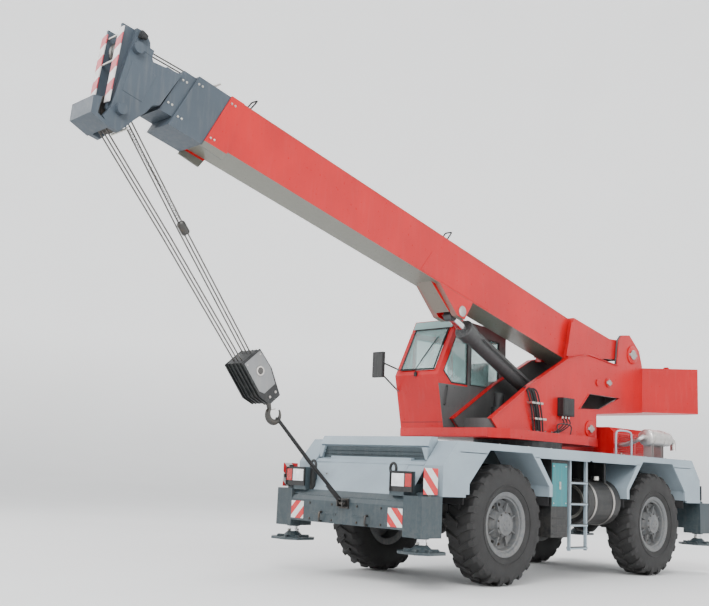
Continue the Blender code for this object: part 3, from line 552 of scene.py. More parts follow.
PAINT = {
    "crane_red": coat("crane_red", RED, 0.30, 0.30, 0.10, 0.10),
    # The boom's downward faces take grey-olive as painted shade.
    "boom_red": coat("boom_red", RED, 0.30, 0.30, 0.06, 0.10, (0.16, 0.16, 0.13), ((boom_lip, (0.13, 0.13, 0.11)),)),
    "turntable_red": coat("turntable_red", RED, 0.30, 0.30, 0.10, 0.10, parts=((between_plates, GREY),)),
    "cab_red": coat("cab_red", RED, 0.30, 0.25, 0.08, 0.10,
                    parts=((cab_side, GREY), (cab_inside, (0.16, 0.24, 0.235)), (mirror_arm, (0.02, 0.02, 0.02)))),
    "roof_glass": coat("roof_glass", (0.26, 0.42, 0.41), 0.12, 0.1, 0.15, 0.4),
    "slate_paint": coat("slate_paint", (0.060, 0.078, 0.098), 0.42, 0.6, 0.18),
    "chassis_paint": coat("chassis_paint", (0.036, 0.054, 0.064), 0.42, 0.5, 0.14),
    "deck_paint": coat("deck_paint", (0.29, 0.36, 0.41), 0.40, 0.4, 0.16, 0.1),
    "black_paint": coat("black_paint", (0.016, 0.017, 0.018), 0.42, 0.4, 0.15),
    "cylinder_paint": coat("cylinder_paint", (0.055, 0.056, 0.057), 0.38, 0.3, 0.12),
    "rim_paint": coat("rim_paint", (0.105, 0.112, 0.118), 0.45, 0.5, 0.35),
    "turquoise": coat("turquoise_panel", (0.02, 0.17, 0.19), 0.4, 0.5, 0.3),
    "block_plate": coat("block_plate", (0.22, 0.225, 0.23), 0.45, 0.7, 0.5),
    "tread": tread_plate("tread_plate", (0.27, 0.335, 0.38)),
    "rod_chrome": metal("rod_chrome", (0.80, 0.81, 0.82), 0.10, (1, 0.05, 1), staining=0.05),
    "bare_steel": metal("bare_steel", (0.46, 0.44, 0.42), 0.34),
    "exhaust": metal("exhaust_steel", (0.62, 0.60, 0.58), 0.36, (1, 0.2, 1), (0.30, 0.26, 0.22), 0.3),
    "dark_steel": metal("dark_steel", (0.09, 0.088, 0.085), 0.42, staining=0.5),
    "zinc": metal("zinc_fittings", (0.55, 0.54, 0.50), 0.32),
    "wire_rope": rope_lay("wire_rope"),
    "tyre_rubber": rubber("tyre_rubber", (0.012, 0.012, 0.0125), 0.3),
    "hose": rubber("hose_rubber", (0.010, 0.010, 0.011), 0.2),
    "glass": glass("cab_glass", (0.45, 0.72, 0.70)),
    "mirror": metal("mirror_glass", (0.85, 0.87, 0.88), 0.08, staining=0.05),
    "clear_lens": lens("clear_lens", (0.75, 0.78, 0.80)),
    "amber_lens": lens("amber_lens", (0.85, 0.28, 0.02)),
    "red_lens": lens("red_lens", (0.42, 0.01, 0.01)),
    "seat_cloth": cloth("seat_cloth", (0.035, 0.036, 0.040)),
    "left_warning": stripes("left_warning", (0.55, 0.01, 0.015), (0.66, 0.66, 0.65), 0.075, (1, 0, 1)),
    "right_warning": stripes("right_warning", (0.55, 0.01, 0.015), (0.66, 0.66, 0.65), 0.075, (-1, 0, 1)),
    "side_warning": stripes("side_warning", (0.55, 0.01, 0.015), (0.66, 0.66, 0.65), 0.085, (0, 1, 1)),
    "head_warning": stripes("head_warning", (0.50, 0.06, 0.08), (0.62, 0.60, 0.60), 0.115, (-0.5, 0.0, 1)),
}


def repaint():
    """Every CAD node that stays visible takes a detailed material, and the larger boxes and panels also take softened
    edges.
    """
    looks = {
        "crane_red": ("counterweight", "cab_door", "engine_hood"),
        "turntable_red": ("turntable",),
        "cab_red": ("cab_shell",),
        "boom_red": ("boom_base",),
        "slate_paint": ("boom_section_2", "boom_section_3", "boom_tip"),
        "deck_paint": ("front_hood", "tail_panel", "front_deck", "rear_deck", "side_ladder", "right_ladder",
                       "hydraulic_tank"),
        "chassis_paint": ("chassis_frame", "front_outrigger_box", "rear_outrigger_box",
                          "outrigger_beam_front_left", "outrigger_beam_front_right",
                          "outrigger_beam_rear_left", "outrigger_beam_rear_right",
                          "outrigger_jack_front_left", "outrigger_jack_front_right",
                          "outrigger_jack_rear_left", "outrigger_jack_rear_right"),
        "black_paint": ("slew_ring", "battery_box", "fuel_tank", "engine_block", "front_axle", "rear_axle",
                        "knuckle_front_left", "knuckle_front_right", "knuckle_rear_left",
                        "knuckle_rear_right", "steering_column", "hook_block"),
    }
    for look, names in looks.items():
        for name in names:
            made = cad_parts[name]
            made.data.materials.clear()
            made.data.materials.append(PAINT[look])
            if name in ("front_outrigger_box", "rear_outrigger_box", "front_hood", "tail_panel", "counterweight",
                        "battery_box", "hydraulic_tank", "engine_hood", "hook_block", "cab_door"):
                soften(made, 0.006)


# ---------------------------------------------------------------- wheels
def tyre_lug(side, angle, radius):
    """One tread bar, from the shoulder to just past the middle, swept round the tyre."""
    stations = [(0.213, 0.645, 0.0), (0.208, 0.690, 0.01), (0.165, 0.738, 0.03), (0.10, 0.7403, 0.07),
                (0.04, 0.7403, 0.115), (-0.015, 0.7403, 0.16)]
    points, faces = [], []
    for i, (x, top, sweep) in enumerate(stations):
        half = 0.046 - 0.0045 * i
        bottom = top - (0.045 if i > 1 else 0.03)
        for r, w in ((bottom, half + 0.010), (top, half), (top, -half), (bottom, -half - 0.010)):
            a = angle + side * 0 + sweep + w / radius
            points.append((x * side, r * math.cos(a), r * math.sin(a)))
    for i in range(len(stations) - 1):
        base = 4 * i
        for k in range(4):
            n = (k + 1) % 4
            faces.append((base + k, base + n, base + 4 + n, base + 4 + k))
    faces.append((0, 1, 2, 3))
    last = 4 * (len(stations) - 1)
    faces.append((last + 3, last + 2, last + 1, last))
    return points, faces


def tyres_and_rims():
    half = TYRE_WIDTH / 2
    carcass = [(-0.160, 0.342), (-0.178, 0.404), (-0.196, 0.43), (-0.211, 0.50), (-half, 0.56), (-0.213, 0.62),
               (-0.203, 0.665), (-0.180, 0.694), (-0.12, 0.708), (0.0, 0.713), (0.12, 0.708), (0.180, 0.694),
               (0.203, 0.665), (0.213, 0.62), (half, 0.56), (0.211, 0.50), (0.196, 0.43), (0.178, 0.404),
               (0.160, 0.342)]
    rings = [turned([(a - 0.004, r - 0.006), (a + 0.004, r - 0.004), (a + 0.004, r + 0.006), (a - 0.002, r + 0.008)],
                    "X", sides=64) for a, r in ((0.2095, 0.475), (0.2085, 0.53), (0.2075, 0.605))]
    rim = [(-0.10, 0), (-0.10, 0.12), (0.010, 0.13), (0.015, 0.30), (-0.165, 0.315), (-0.180, 0.36),
           (-0.184, 0.400), (-0.174, 0.4025), (-0.164, 0.392), (-0.160, 0.338), (0.160, 0.338), (0.164, 0.392),
           (0.172, 0.4025), (0.184, 0.3985), (0.180, 0.372), (0.168, 0.345), (0.150, 0.338), (0.146, 0.318),
           (0.120, 0.310), (0.075, 0.300), (0.060, 0.275), (0.060, 0.205), (0.075, 0.195), (0.110, 0.165),
           (0.125, 0.158), (0.165, 0.152), (0.172, 0.140), (0.186, 0.132), (0.190, 0.080), (0.197, 0.070),
           (0.199, 0)]
    for end, dy in (("front", -AXLE_DY), ("rear", AXLE_DY)):
        for side, flip in (("left", 1), ("right", -1)):
            label = f"{end}_{side}"
            place = Matrix.Translation((WHEEL_X * flip, SLEW_Y + dy, WHEEL_Z))
            if flip < 0:
                place = place @ Matrix.Rotation(math.pi, 4, "Z")
            body = f"wheel_{label}"
            lugs = [tyre_lug(s, 2 * math.pi * (i + (0.5 if s < 0 else 0)) / 22, TYRE_RADIUS)
                    for i in range(22) for s in (1, -1)]
            make(f"tyre_tread_{label}", body, PAINT["tyre_rubber"], [turned(carcass, "X", sides=88)] + lugs + rings,
                 place, 0, (f"tyre_{label}",), 32)
            nuts = bolts(ring_of(12, 0.240, (0.058, 0, 0)), 0.016, 0.030)
            caps = bolts(ring_of(10, 0.142, (0.169, 0, 0), start=0.3), 0.009, 0.014)
            centre = bolts(ring_of(4, 0.045, (0.197, 0, 0)), 0.006, 0.004)
            ribs = [moved(box((0.078, 0.125), (-0.006, 0.006), (0.165, 0.285)),
                          Matrix.Rotation(2 * math.pi * (i + 0.5) / 8, 4, "X")) for i in range(8)]
            valve = [tube([(0.10, 0.0, 0.315), (0.15, 0.0, 0.300), (0.175, 0.0, 0.300)], 0.007)]
            make(f"wheel_rim_{label}", body, PAINT["rim_paint"], [turned(rim, "X", sides=72)] + ribs, place, 0.003,
                 (f"rim_{label}",), 32)
            make(f"wheel_nuts_{label}", body, PAINT["dark_steel"], nuts + caps + centre + valve, place, 0.001)


def axle_details():
    """Steering rods, spring seats, brake drums and drive shafts seen from below and behind the wheels."""
    for end, dy, flip in (("front", -AXLE_DY, -1), ("rear", AXLE_DY, 1)):
        y = SLEW_Y + dy
        shapes = [turned([(y - flip * 0.19, 0), (y - flip * 0.19, 0.14), (y - flip * 0.13, 0.17),
                          (y - flip * 0.05, 0.19), (y - flip * 0.05, 0)], "Y", (0, 0, WHEEL_Z))]
        shapes += bolts(ring_of(10, 0.155, (0, y + flip * 0.17, WHEEL_Z), "Y"), 0.010, 0.014, "Y", flip)
        shapes += [turned([(y + flip * 0.05, 0), (y + flip * 0.05, 0.185), (y + flip * 0.14, 0.175),
                           (y + flip * 0.175, 0.13), (y + flip * 0.175, 0)], "Y", (0, 0, WHEEL_Z))]
        shapes += both(*[rod(0.30, 0.58, 0.105, "X", (0, y, WHEEL_Z))])
        make(f"axle_housing_{end}", "carrier", PAINT["black_paint"], shapes, None, 0.002)
        shaft = [(0, y - flip * 0.20, WHEEL_Z), (0, y - flip * 0.55, 0.80), (0, y - flip * 1.30, 0.90)]
        joints = [rod(-0.06, 0.06, 0.05, "X", p) for p in (shaft[0], shaft[2])]
        make(f"drive_shaft_{end}", "carrier", PAINT["dark_steel"], [tube(shaft, 0.042, 16)] + joints, None, 0.001)
        ram = [rod(-0.28, 0.28, 0.035, "X", (0, y + flip * 0.24, WHEEL_Z + 0.03)),
               rod(-0.40, 0.40, 0.016, "X", (0, y + flip * 0.24, WHEEL_Z + 0.03))]
        make(f"steering_ram_{end}", "carrier", PAINT["dark_steel"], ram, None, 0)


# ---------------------------------------------------------------- carrier
def deck_details():
    top = DECK_TOP
    panels = [
        ("deck_plate_front", (-0.93, 1.17), (-2.72, -0.80)),
        ("deck_plate_left", (0.78, 1.18), (-0.74, 0.85)),
        ("deck_plate_right", (-1.18, -0.78), (-0.74, 0.85)),
        ("deck_plate_rear_left", (0.56, 0.90), (0.90, 2.80)),
        ("deck_plate_rear_right", (-1.18, -0.56), (0.90, 2.80)),
    ]
    for name, x, y in panels:
        make(name, "carrier", PAINT["tread"], [box(x, y, (top + 0.0005, top + 0.007))], CARRIER, 0.002)
    spots = [(x, y, top) for x in (-1.215, 1.215) for y in (-2.6, -2.0, -1.4, -0.9, 0.9, 1.5, 2.1, 2.7)]
    make("deck_bolts", "carrier", PAINT["zinc"], bolts(spots, 0.010, 0.010, "Z"), CARRIER, 0)
    lip = [(1.255, -2.82), (1.2555, -0.02)]
    edges = []
    for low, high in ((-2.80, -2.28), (-1.30, -0.03), (0.03, 1.30), (2.28, 2.80)):
        edges += both(box((1.246, 1.2550), (low, high), (1.585, 1.600)))
    make("deck_edge_rolls", "carrier", PAINT["deck_paint"], edges, CARRIER, 0.003)
    flaps = []
    for y in (-0.93, 0.93, -2.66, 2.66):
        flaps += both(box((0.80, 1.20), (y - 0.006, y + 0.006), (0.98, 1.24)))
    make("mud_flaps", "carrier", PAINT["hose"], flaps, CARRIER, 0.003)
    rail = smooth_path([(1.18, 1.30, top), (1.18, 1.30, 1.98), (1.18, 1.36, 2.06), (1.18, 1.66, 2.06),
                        (1.18, 1.72, 1.98), (1.18, 1.72, top)], 6)
    make("deck_handrail", "carrier", PAINT["deck_paint"], [tube([(x, y - 0.55, z) for x, y, z in rail], 0.014)],
         CARRIER, 0)


def front_details():
    """Hood panels, lamps, reflectors, towing ring and lashing lugs on the front face."""
    y = -3.452
    # A thin dark plate across the top of the hood's front, under the deck edge, stands for the recess there: painted
    # shade. Two bars run across it.
    shade = [box((-0.937, 0.937), (-2.991, -2.9855), (1.483, 1.628))]
    shade += [box((-0.90, 0.90), (-3.006, -2.990), (z, z + 0.010)) for z in (1.53, 1.575)]
    make("hood_recess_shade", "carrier", PAINT["chassis_paint"], shade, CARRIER, 0.001)
    wedges = both(prism([(0.940, 1.482), (0.905, 1.482), (0.845, 1.630), (0.940, 1.630)], -3.028, -2.986, "Y"),
                  prism([(-3.350, 1.066), (-3.052, 1.452), (-3.030, 1.452), (-3.328, 1.066)], 0.702, 0.958))
    wedges += [prism([(-3.345, 1.083), (-3.072, 1.434), (-3.068, 1.431), (-3.341, 1.080)], -0.66, 0.66)]
    make("hood_panels", "carrier", PAINT["deck_paint"], [shifted(w, dy=-0.002) for w in wedges], CARRIER, 0.003)
    heads = [(x, -3.205, 1.267) for x in (-0.60, 0.60)]
    make("hood_screws", "carrier", PAINT["zinc"], bolts(heads, 0.010, 0.010, "Y", -1), CARRIER, 0)
    for end, flip in (("front", 1), ("rear", -1)):

        def out(depth):
            """A place this far in front of the outrigger box's outer face."""
            return -(3.452 + depth) * flip

        def slab(x, depth, z):
            return box(x, sorted((out(depth[0]), out(depth[1]))), z)

        frames = both(slab((0.745, 1.100), (-0.012, -0.004), (1.105, 1.330)),
                      slab((0.745, 1.100), (-0.012, 0.010), (1.322, 1.336)),
                      slab((0.745, 0.757), (-0.012, 0.010), (1.105, 1.330)),
                      slab((1.090, 1.102), (-0.012, 0.010), (1.105, 1.330)),
                      slab((0.974, 0.984), (-0.012, 0.006), (1.160, 1.330)))
        inner = both(slab((0.775, 0.970), (-0.006, 0.004), (1.165, 1.312)),
                     turned([(out(0.003), 0), (out(0.003), 0.062), (out(0.012), 0.045), (out(0.016), 0.02),
                             (out(0.017), 0)], "Y", (0.872, 0, 1.238)))
        outer = both(slab((0.988, 1.086), (-0.006, 0.006), (1.165, 1.312)))
        make(f"{end}_lamp_frames", "carrier", PAINT["black_paint"], frames, CARRIER, 0.001)
        make(f"{end}_lamp_inner", "carrier", PAINT["clear_lens" if end == "front" else "red_lens"], inner, CARRIER,
             0.001)
        make(f"{end}_lamp_outer", "carrier", PAINT["red_lens" if end == "front" else "amber_lens"], outer, CARRIER,
             0.001)
        board = slab((0.735, 0.965), (-0.003, 0.004), (0.700, 0.914))
        make(f"{end}_board_left", "carrier", PAINT["left_warning"], [board], CARRIER, 0.001)
        make(f"{end}_board_right", "carrier", PAINT["right_warning"], [mirrored(board)], CARRIER, 0.001)
        eyes = []
        for x in (-0.70, 0.70):
            at = Vector((x, out(-0.10), 1.365))
            loop = [at + Vector((0.048 * math.cos(a), 0, 0.062 * math.sin(a)))
                    for a in (math.radians(-70 + 320 * i / 16) for i in range(17))]
            eyes += [tube(loop, 0.017, 12), slab((x - 0.028, x + 0.028), (-0.125, -0.075), (1.060, 1.325))]
        make(f"{end}_lashing_eyes", "carrier", PAINT["black_paint"], eyes, CARRIER, 0.003)
        clevis = both(slab((0.035, 0.055), (-0.002, 0.085), (0.885, 0.965)))
        clevis += [slab((-0.085, 0.085), (-0.002, 0.014), (0.865, 0.985)), rod(-0.07, 0.07, 0.016, "X", (0, out(0.055), 0.925))]
        clevis += both(tube(smooth_path([(0.40, out(-0.002), 0.80), (0.40, out(0.035), 0.79), (0.40, out(0.040), 0.70),
                                         (0.40, out(-0.002), 0.69)], 5), 0.014))
        make(f"{end}_towing_clevis", "carrier", PAINT["dark_steel"], clevis, CARRIER, 0.002)
        heads = [(x, out(0), z) for x in (-0.62, -0.22, 0.22, 0.62) for z in (0.71, 0.90)]
        make(f"{end}_box_bolts", "carrier", PAINT["dark_steel"], bolts(heads, 0.012, 0.010, "Y", -flip), CARRIER, 0)
        ribs = [slab((-0.58, -0.14), (-0.002, 0.006), (0.775, 0.795)), slab((0.14, 0.34), (-0.002, 0.006), (0.775, 0.795))]
        make(f"{end}_box_ribs", "carrier", PAINT["chassis_paint"], ribs, CARRIER, 0.002)


def outrigger_details():
    """Jack caps on each beam, warning boards on the front beams, and ribs on each float."""
    for end, flip_y in (("front", -1), ("rear", 1)):
        for side, flip_x in (("left", 1), ("right", -1)):
            x = 1.1125 * flip_x
            y = (3.452 - 0.176) * flip_y
            cap = [turned([(1.066, 0), (1.066, 0.085), (1.085, 0.085), (1.105, 0.06), (1.105, 0)], "Z", (x, y, 0))]
            cap += bolts(ring_of(6, 0.070, (x, y, 1.084), "Z"), 0.007, 0.008, "Z")
            collar = [turned([(0.585, 0.058), (0.585, 0.082), (0.601, 0.090), (0.601, 0.058)], "Z", (x, y, 0))]
            make(f"jack_cap_{end}_{side}", f"beam_{end}_{side}", PAINT["chassis_paint"], cap + collar, CARRIER, 0.001)
            if end == "front":
                board = [box(sorted((1.222 * flip_x, 1.231 * flip_x)), (-3.40, -3.16), (1.085, 1.385))]
                post = [box(sorted((1.195 * flip_x, 1.223 * flip_x)), (-3.31, -3.25), (1.0625, 1.36)),
                        box(sorted((1.205 * flip_x, 1.223 * flip_x)), (-3.395, -3.165), (1.20, 1.24))]
                make(f"marker_board_{side}", f"beam_{end}_{side}", PAINT["side_warning"], board, CARRIER, 0.001)
                make(f"marker_post_{side}", f"beam_{end}_{side}", PAINT["dark_steel"], post, CARRIER, 0.002)
            ribs = [moved(box((-0.012, 0.012), (0.06, 0.215), (0.449, 0.475)), Matrix.Translation((x, y, 0))
                          @ Matrix.Rotation(math.pi * (k + 0.5) / 4, 4, "Z")) for k in range(8)]
            pin = [rod(-0.09, 0.09, 0.014, "Y", (x, y, 0.535), 16)]
            make(f"float_ribs_{end}_{side}", f"jack_{end}_{side}", PAINT["chassis_paint"], ribs, CARRIER, 0.002)
            make(f"float_pin_{end}_{side}", f"jack_{end}_{side}", PAINT["zinc"], pin, CARRIER, 0.001)
            rodlike = [turned([(0.515, 0.0), (0.515, 0.0554), (0.600, 0.0554), (0.600, 0.0)], "Z", (x, y, 0))]
            make(f"jack_rod_{end}_{side}", f"jack_{end}_{side}", PAINT["rod_chrome"], rodlike, CARRIER, 0)


def side_details():
    """Tank straps and cap, box door and latches, ladder treads, air tanks and hoses on the flanks."""
    straps = [turned([(y, 0.321), (y, 0.327), (y + 0.045, 0.327), (y + 0.045, 0.321)], "Y", (0.87, 0, 1.04), 64)
              for y in (0.20, 0.66)]
    cap = [rod(1.34, 1.40, 0.055, "Z", (1.02, 0.46, 0))]
    cap += [turned([(0.033, 0.20), (0.033, 0.24), (0.040, 0.24), (0.040, 0.20)], "Y", (0.87, 0, 1.04), 48)]
    make("fuel_tank_straps", "carrier", PAINT["bare_steel"], straps, CARRIER, 0.001)
    make("fuel_tank_cap", "carrier", PAINT["zinc"], cap, CARRIER, 0.002)
    door = [box((1.198, 1.206), (-0.85, -0.51), (0.98, 1.54))]
    make("battery_box_door", "carrier", PAINT["turquoise"], door, CARRIER, 0.003)
    latch = [box((1.205, 1.214), (-0.70, -0.66), (1.20, 1.30)), rod(1.204, 1.222, 0.014, "X", (0, -0.68, 1.25))]
    latch += bolts([(1.206, y, z) for y in (-0.82, -0.54) for z in (1.02, 1.50)], 0.008, 0.006)
    make("battery_box_latch", "carrier", PAINT["zinc"], latch, CARRIER, 0.001)
    ribs = [box((1.1995, 1.206), (-0.84, -0.52), (z, z + 0.02)) for z in (0.62, 0.72, 0.82)]
    make("battery_box_ribs", "carrier", PAINT["black_paint"], ribs, CARRIER, 0.002)
    treads = [box((1.125, 1.203), (-0.405, -0.015), (z + 0.023, z + 0.030)) for z in (0.42, 0.72, 1.00, 1.28)]
    treads += [shifted(mirrored(t), dy=-0.42) for t in treads]
    make("ladder_treads", "carrier", PAINT["dark_steel"], treads, CARRIER, 0.001)
    panel = [box((-1.206, -1.199), (-0.26, 0.82), (0.80, 1.58))]
    make("hydraulic_tank_panel", "carrier", PAINT["deck_paint"], panel, CARRIER, 0.003)
    gauge = [box((-1.212, -1.204), (0.60, 0.64), (0.95, 1.15))]
    gauge += bolts([(-1.206, y, z) for y in (-0.22, 0.28, 0.78) for z in (0.84, 1.54)], 0.009, 0.008, out=-1)
    make("hydraulic_tank_fittings", "carrier", PAINT["zinc"], gauge, CARRIER, 0.001)
    air = [rod(-0.10, 0.62, 0.11, "Y", (0.56, 0.0, 0.82))]
    make("air_tank", "carrier", PAINT["black_paint"], [shifted(a, dx=-0.02) for a in air], CARRIER, 0.004)
    runs = []
    for i in range(4):
        x = 0.375 + 0.022 * i
        runs.append(tube(smooth_path([(x, -2.6, 1.20 + 0.02 * i), (x + 0.02, -1.8, 1.22), (x, -0.9, 1.16 + 0.03 * i),
                                      (x + 0.03, 0.2, 1.21), (x, 1.4, 1.18 + 0.02 * i), (x + 0.01, 2.7, 1.22)], 8), 0.010))
    make("frame_hoses", "carrier", PAINT["hose"], runs + [mirrored(r) for r in runs], CARRIER, 0)


def engine_details():
    """Louvres and catches on the hood, and the exhaust."""
    slats = []
    for i in range(9):
        z = 1.80 + 0.032 * i
        for side in (1, -1):
            slats.append(prism([(x * side, w) for x, w in ((0.4995, z), (0.515, z + 0.004), (0.4995, z + 0.022))],
                               1.95, 2.40, "Y"))
            slats.append(prism([(x * side, w) for x, w in ((0.4995, z), (0.515, z + 0.004), (0.4995, z + 0.022))],
                               2.48, 2.86, "Y"))
    make("hood_louvres", "carrier", PAINT["crane_red"], slats, CARRIER, 0.001)
    rear = [box((-0.38, 0.38), (2.949, 2.956), (1.80 + 0.034 * i, 1.815 + 0.034 * i)) for i in range(9)]
    make("radiator_grille", "carrier", PAINT["black_paint"], rear, CARRIER, 0.001)
    top = [box((-0.34, 0.34), (1.92, 2.84), (2.1795, 2.188))]
    make("hood_top_panel", "carrier", PAINT["crane_red"], top, CARRIER, 0.004)
    catches = both(*[box((0.498, 0.512), (y, y + 0.03), (1.74, 1.79)) for y in (2.0, 2.75)])
    make("hood_catches", "carrier", PAINT["zinc"], catches, CARRIER, 0.001)
    body = [(1.78, 0), (1.78, 0.10), (1.795, 0.122), (1.81, 0.125), (2.28, 0.125), (2.295, 0.122), (2.31, 0.105),
            (2.44, 0.105), (2.455, 0.098), (2.46, 0.06), (2.46, 0)]
    shapes = [turned(body, "Y", (1.05, 0, 2.02), 56)]
    shapes += [turned([(y, 0.124), (y, 0.130), (y + 0.03, 0.130), (y + 0.03, 0.124)], "Y", (1.05, 0, 2.02), 56)
               for y in (1.87, 2.17)]
    shapes += [box((0.98, 1.12), (y, y + 0.006), (DECK_TOP + 0.0005, 1.96)) for y in (1.86, 1.91, 2.16, 2.21)]
    shapes += [tube(smooth_path([(1.05, 1.79, 2.02), (1.05, 1.70, 2.02), (1.00, 1.66, 1.98), (0.80, 1.72, 1.92),
                                 (0.52, 1.90, 1.90)], 8), 0.035, 16)]
    shapes += [tube(smooth_path([(1.05, 2.45, 2.02), (1.05, 2.56, 2.02), (1.05, 2.63, 1.98), (1.05, 2.64, 1.86)], 8),
                    0.045, 16)]
    make("exhaust_silencer", "carrier", PAINT["exhaust"], shapes, CARRIER, 0.001, ("muffler",))


# ---------------------------------------------------------------- superstructure
def superstructure_details():
    """Flanges, bosses, pins, hoses and the control box on the side plates."""
    bosses = []
    for y, z, r in ((2.59, 3.40, 0.15), (1.35, 2.12, 0.13), (1.865, 2.875, 0.075), (1.57, 2.85, 0.055)):
        bosses += both(turned([(0.355, 0), (0.355, r), (0.375, r), (0.380, r * 0.92), (0.380, 0)], "X", (0, y, z)))
    make("pivot_bosses", "superstructure", PAINT["crane_red"], bosses, TOP, 0.002)
    pins = []
    for y, z, r in ((2.59, 3.40, 0.08), (1.35, 2.12, 0.06), (1.865, 2.875, 0.05)):
        pins += both(rod(0.37, 0.40, r, "X", (0, y, z)))
        pins += both(box((0.38, 0.392), (y - r * 1.5, y + r * 1.5), (z - 0.018, z + 0.018)))
    make("pivot_pins", "superstructure", PAINT["bare_steel"], pins, TOP, 0.001)
    upper = [(-1.09, 2.11), (-0.21, 2.65), (0.74, 3.135), (1.01, 3.19), (1.29, 3.25), (2.13, 3.175)]
    caps = []
    for (y0, z0), (y1, z1) in zip(upper, upper[1:]):
        length = math.hypot(y1 - y0, z1 - z0)
        ny, nz = -(z1 - z0) / length, (y1 - y0) / length
        outline = [(y0, z0), (y1, z1), (y1 + ny * 0.012, z1 + nz * 0.012), (y0 + ny * 0.012, z0 + nz * 0.012)]
        caps += both(prism(outline, 0.300, 0.385))
    make("side_plate_flanges", "superstructure", PAINT["crane_red"], caps, TOP, 0.002)
    window = [(1.34, 2.66), (2.20, 2.66), (1.62, 2.44), (1.08, 2.41)]
    centre = Vector((sum(p[0] for p in window) / 4, sum(p[1] for p in window) / 4))
    frames = []
    for a, b in zip(window, window[1:] + window[:1]):
        a, b = Vector(a), Vector(b)
        out_a, out_b = a + (a - centre) * 0.07, b + (b - centre) * 0.07
        frames += both(prism([tuple(a), tuple(b), tuple(out_b), tuple(out_a)], 0.359, 0.368))
    make("side_window_rims", "superstructure", PAINT["crane_red"], frames, TOP, 0.002)
    boxes = [box((0.36, 0.47), (0.48, 0.77), (2.26, 2.53)), box((0.47, 0.476), (0.50, 0.75), (2.28, 2.51))]
    make("control_box", "superstructure", PAINT["black_paint"], boxes, TOP, 0.006)
    glands = [rod(2.22, 2.26, 0.018, "Z", (0.41, y, 0)) for y in (0.54, 0.62, 0.70)]
    make("control_box_glands", "superstructure", PAINT["zinc"], glands, TOP, 0.001)
    hoses = []
    for i in range(6):
        x = 0.375 + 0.02 * (i % 3)
        y = -0.29 + 0.035 * i
        hoses.append(tube(smooth_path([(0.33, y - 0.03, 2.62), (x, y, 2.56), (x + 0.03, y + 0.05, 2.35),
                                       (x + 0.015, y + 0.12, 2.15), (x, y + 0.16, 1.985)], 7), 0.012))
    for i in range(3):
        hoses.append(tube(smooth_path([(0.41, 0.54 + 0.08 * i, 2.23), (0.43, 0.55 + 0.08 * i, 2.15),
                                       (0.44, 0.40 + 0.06 * i, 2.05), (0.42, 0.25 + 0.05 * i, 1.99)], 7), 0.009))
    make("side_hoses", "superstructure", PAINT["hose"], hoses, TOP, 0)
    clamps = [box((0.36, 0.45), (-0.27, 0.00), (2.38, 2.41)), box((0.36, 0.44), (-0.18, 0.10), (2.16, 2.19))]
    make("hose_clamps", "superstructure", PAINT["zinc"], clamps, TOP, 0.002)
    beam = [box((-1.20, 0.42), (-1.232, -1.219), (1.86, 1.975))]
    make("front_beam_face", "superstructure", PAINT["crane_red"], beam, TOP, 0.003)
    heads = bolts(ring_of(28, 0.60, (0, 0, 1.98), "Z"), 0.013, 0.018, "Z")
    make("slew_ring_bolts", "superstructure", PAINT["dark_steel"], heads, TOP, 0)
    steps = [tube(smooth_path([(0.50, 0.30 + 0.4 * i, 1.98), (0.50, 0.30 + 0.4 * i, 2.12), (0.50, 0.62 + 0.4 * i, 2.12),
                               (0.50, 0.62 + 0.4 * i, 1.98)], 5), 0.010) for i in range(1)]
    make("step_rail", "superstructure", PAINT["black_paint"], steps, TOP, 0)
    motor = [rod(1.98, 2.32, 0.11, "Z", (0.0, -0.46, 0)), rod(2.30, 2.52, 0.075, "Z", (0.0, -0.46, 0)),
             box((-0.15, 0.15), (-0.61, -0.31), (1.979, 2.02))]
    make("slew_motor", "superstructure", PAINT["black_paint"], motor, TOP, 0.003)


def counterweight_details():
    seams = [prism([(-1.081, z), (-1.076, z + 0.006), (1.076, z + 0.006), (1.081, z)], 2.93, 2.935, "Y") for z in ()]
    eyes = []
    for x in (-0.62, 0.62):
        eyes.append(prism([(x - 0.06, 3.218), (x + 0.06, 3.218), (x + 0.035, 3.255), (x - 0.035, 3.255)],
                          3.22, 3.25, "Y"))
    make("counterweight_eyes", "superstructure", PAINT["crane_red"], seams + eyes, TOP, 0.003)
    rear = [(x, 3.6002, z) for x in (-0.68, 0.68) for z in (2.62, 3.08)]
    make("counterweight_bolts", "superstructure", PAINT["dark_steel"], bolts(rear, 0.022, 0.0002 + 0.012, "Y", -1),
         TOP, 0)
    panel = [box((-0.60, 0.60), (3.594, 3.5998), (2.60, 3.10))]
    make("counterweight_panel", "superstructure", PAINT["crane_red"], panel, TOP, 0.003)


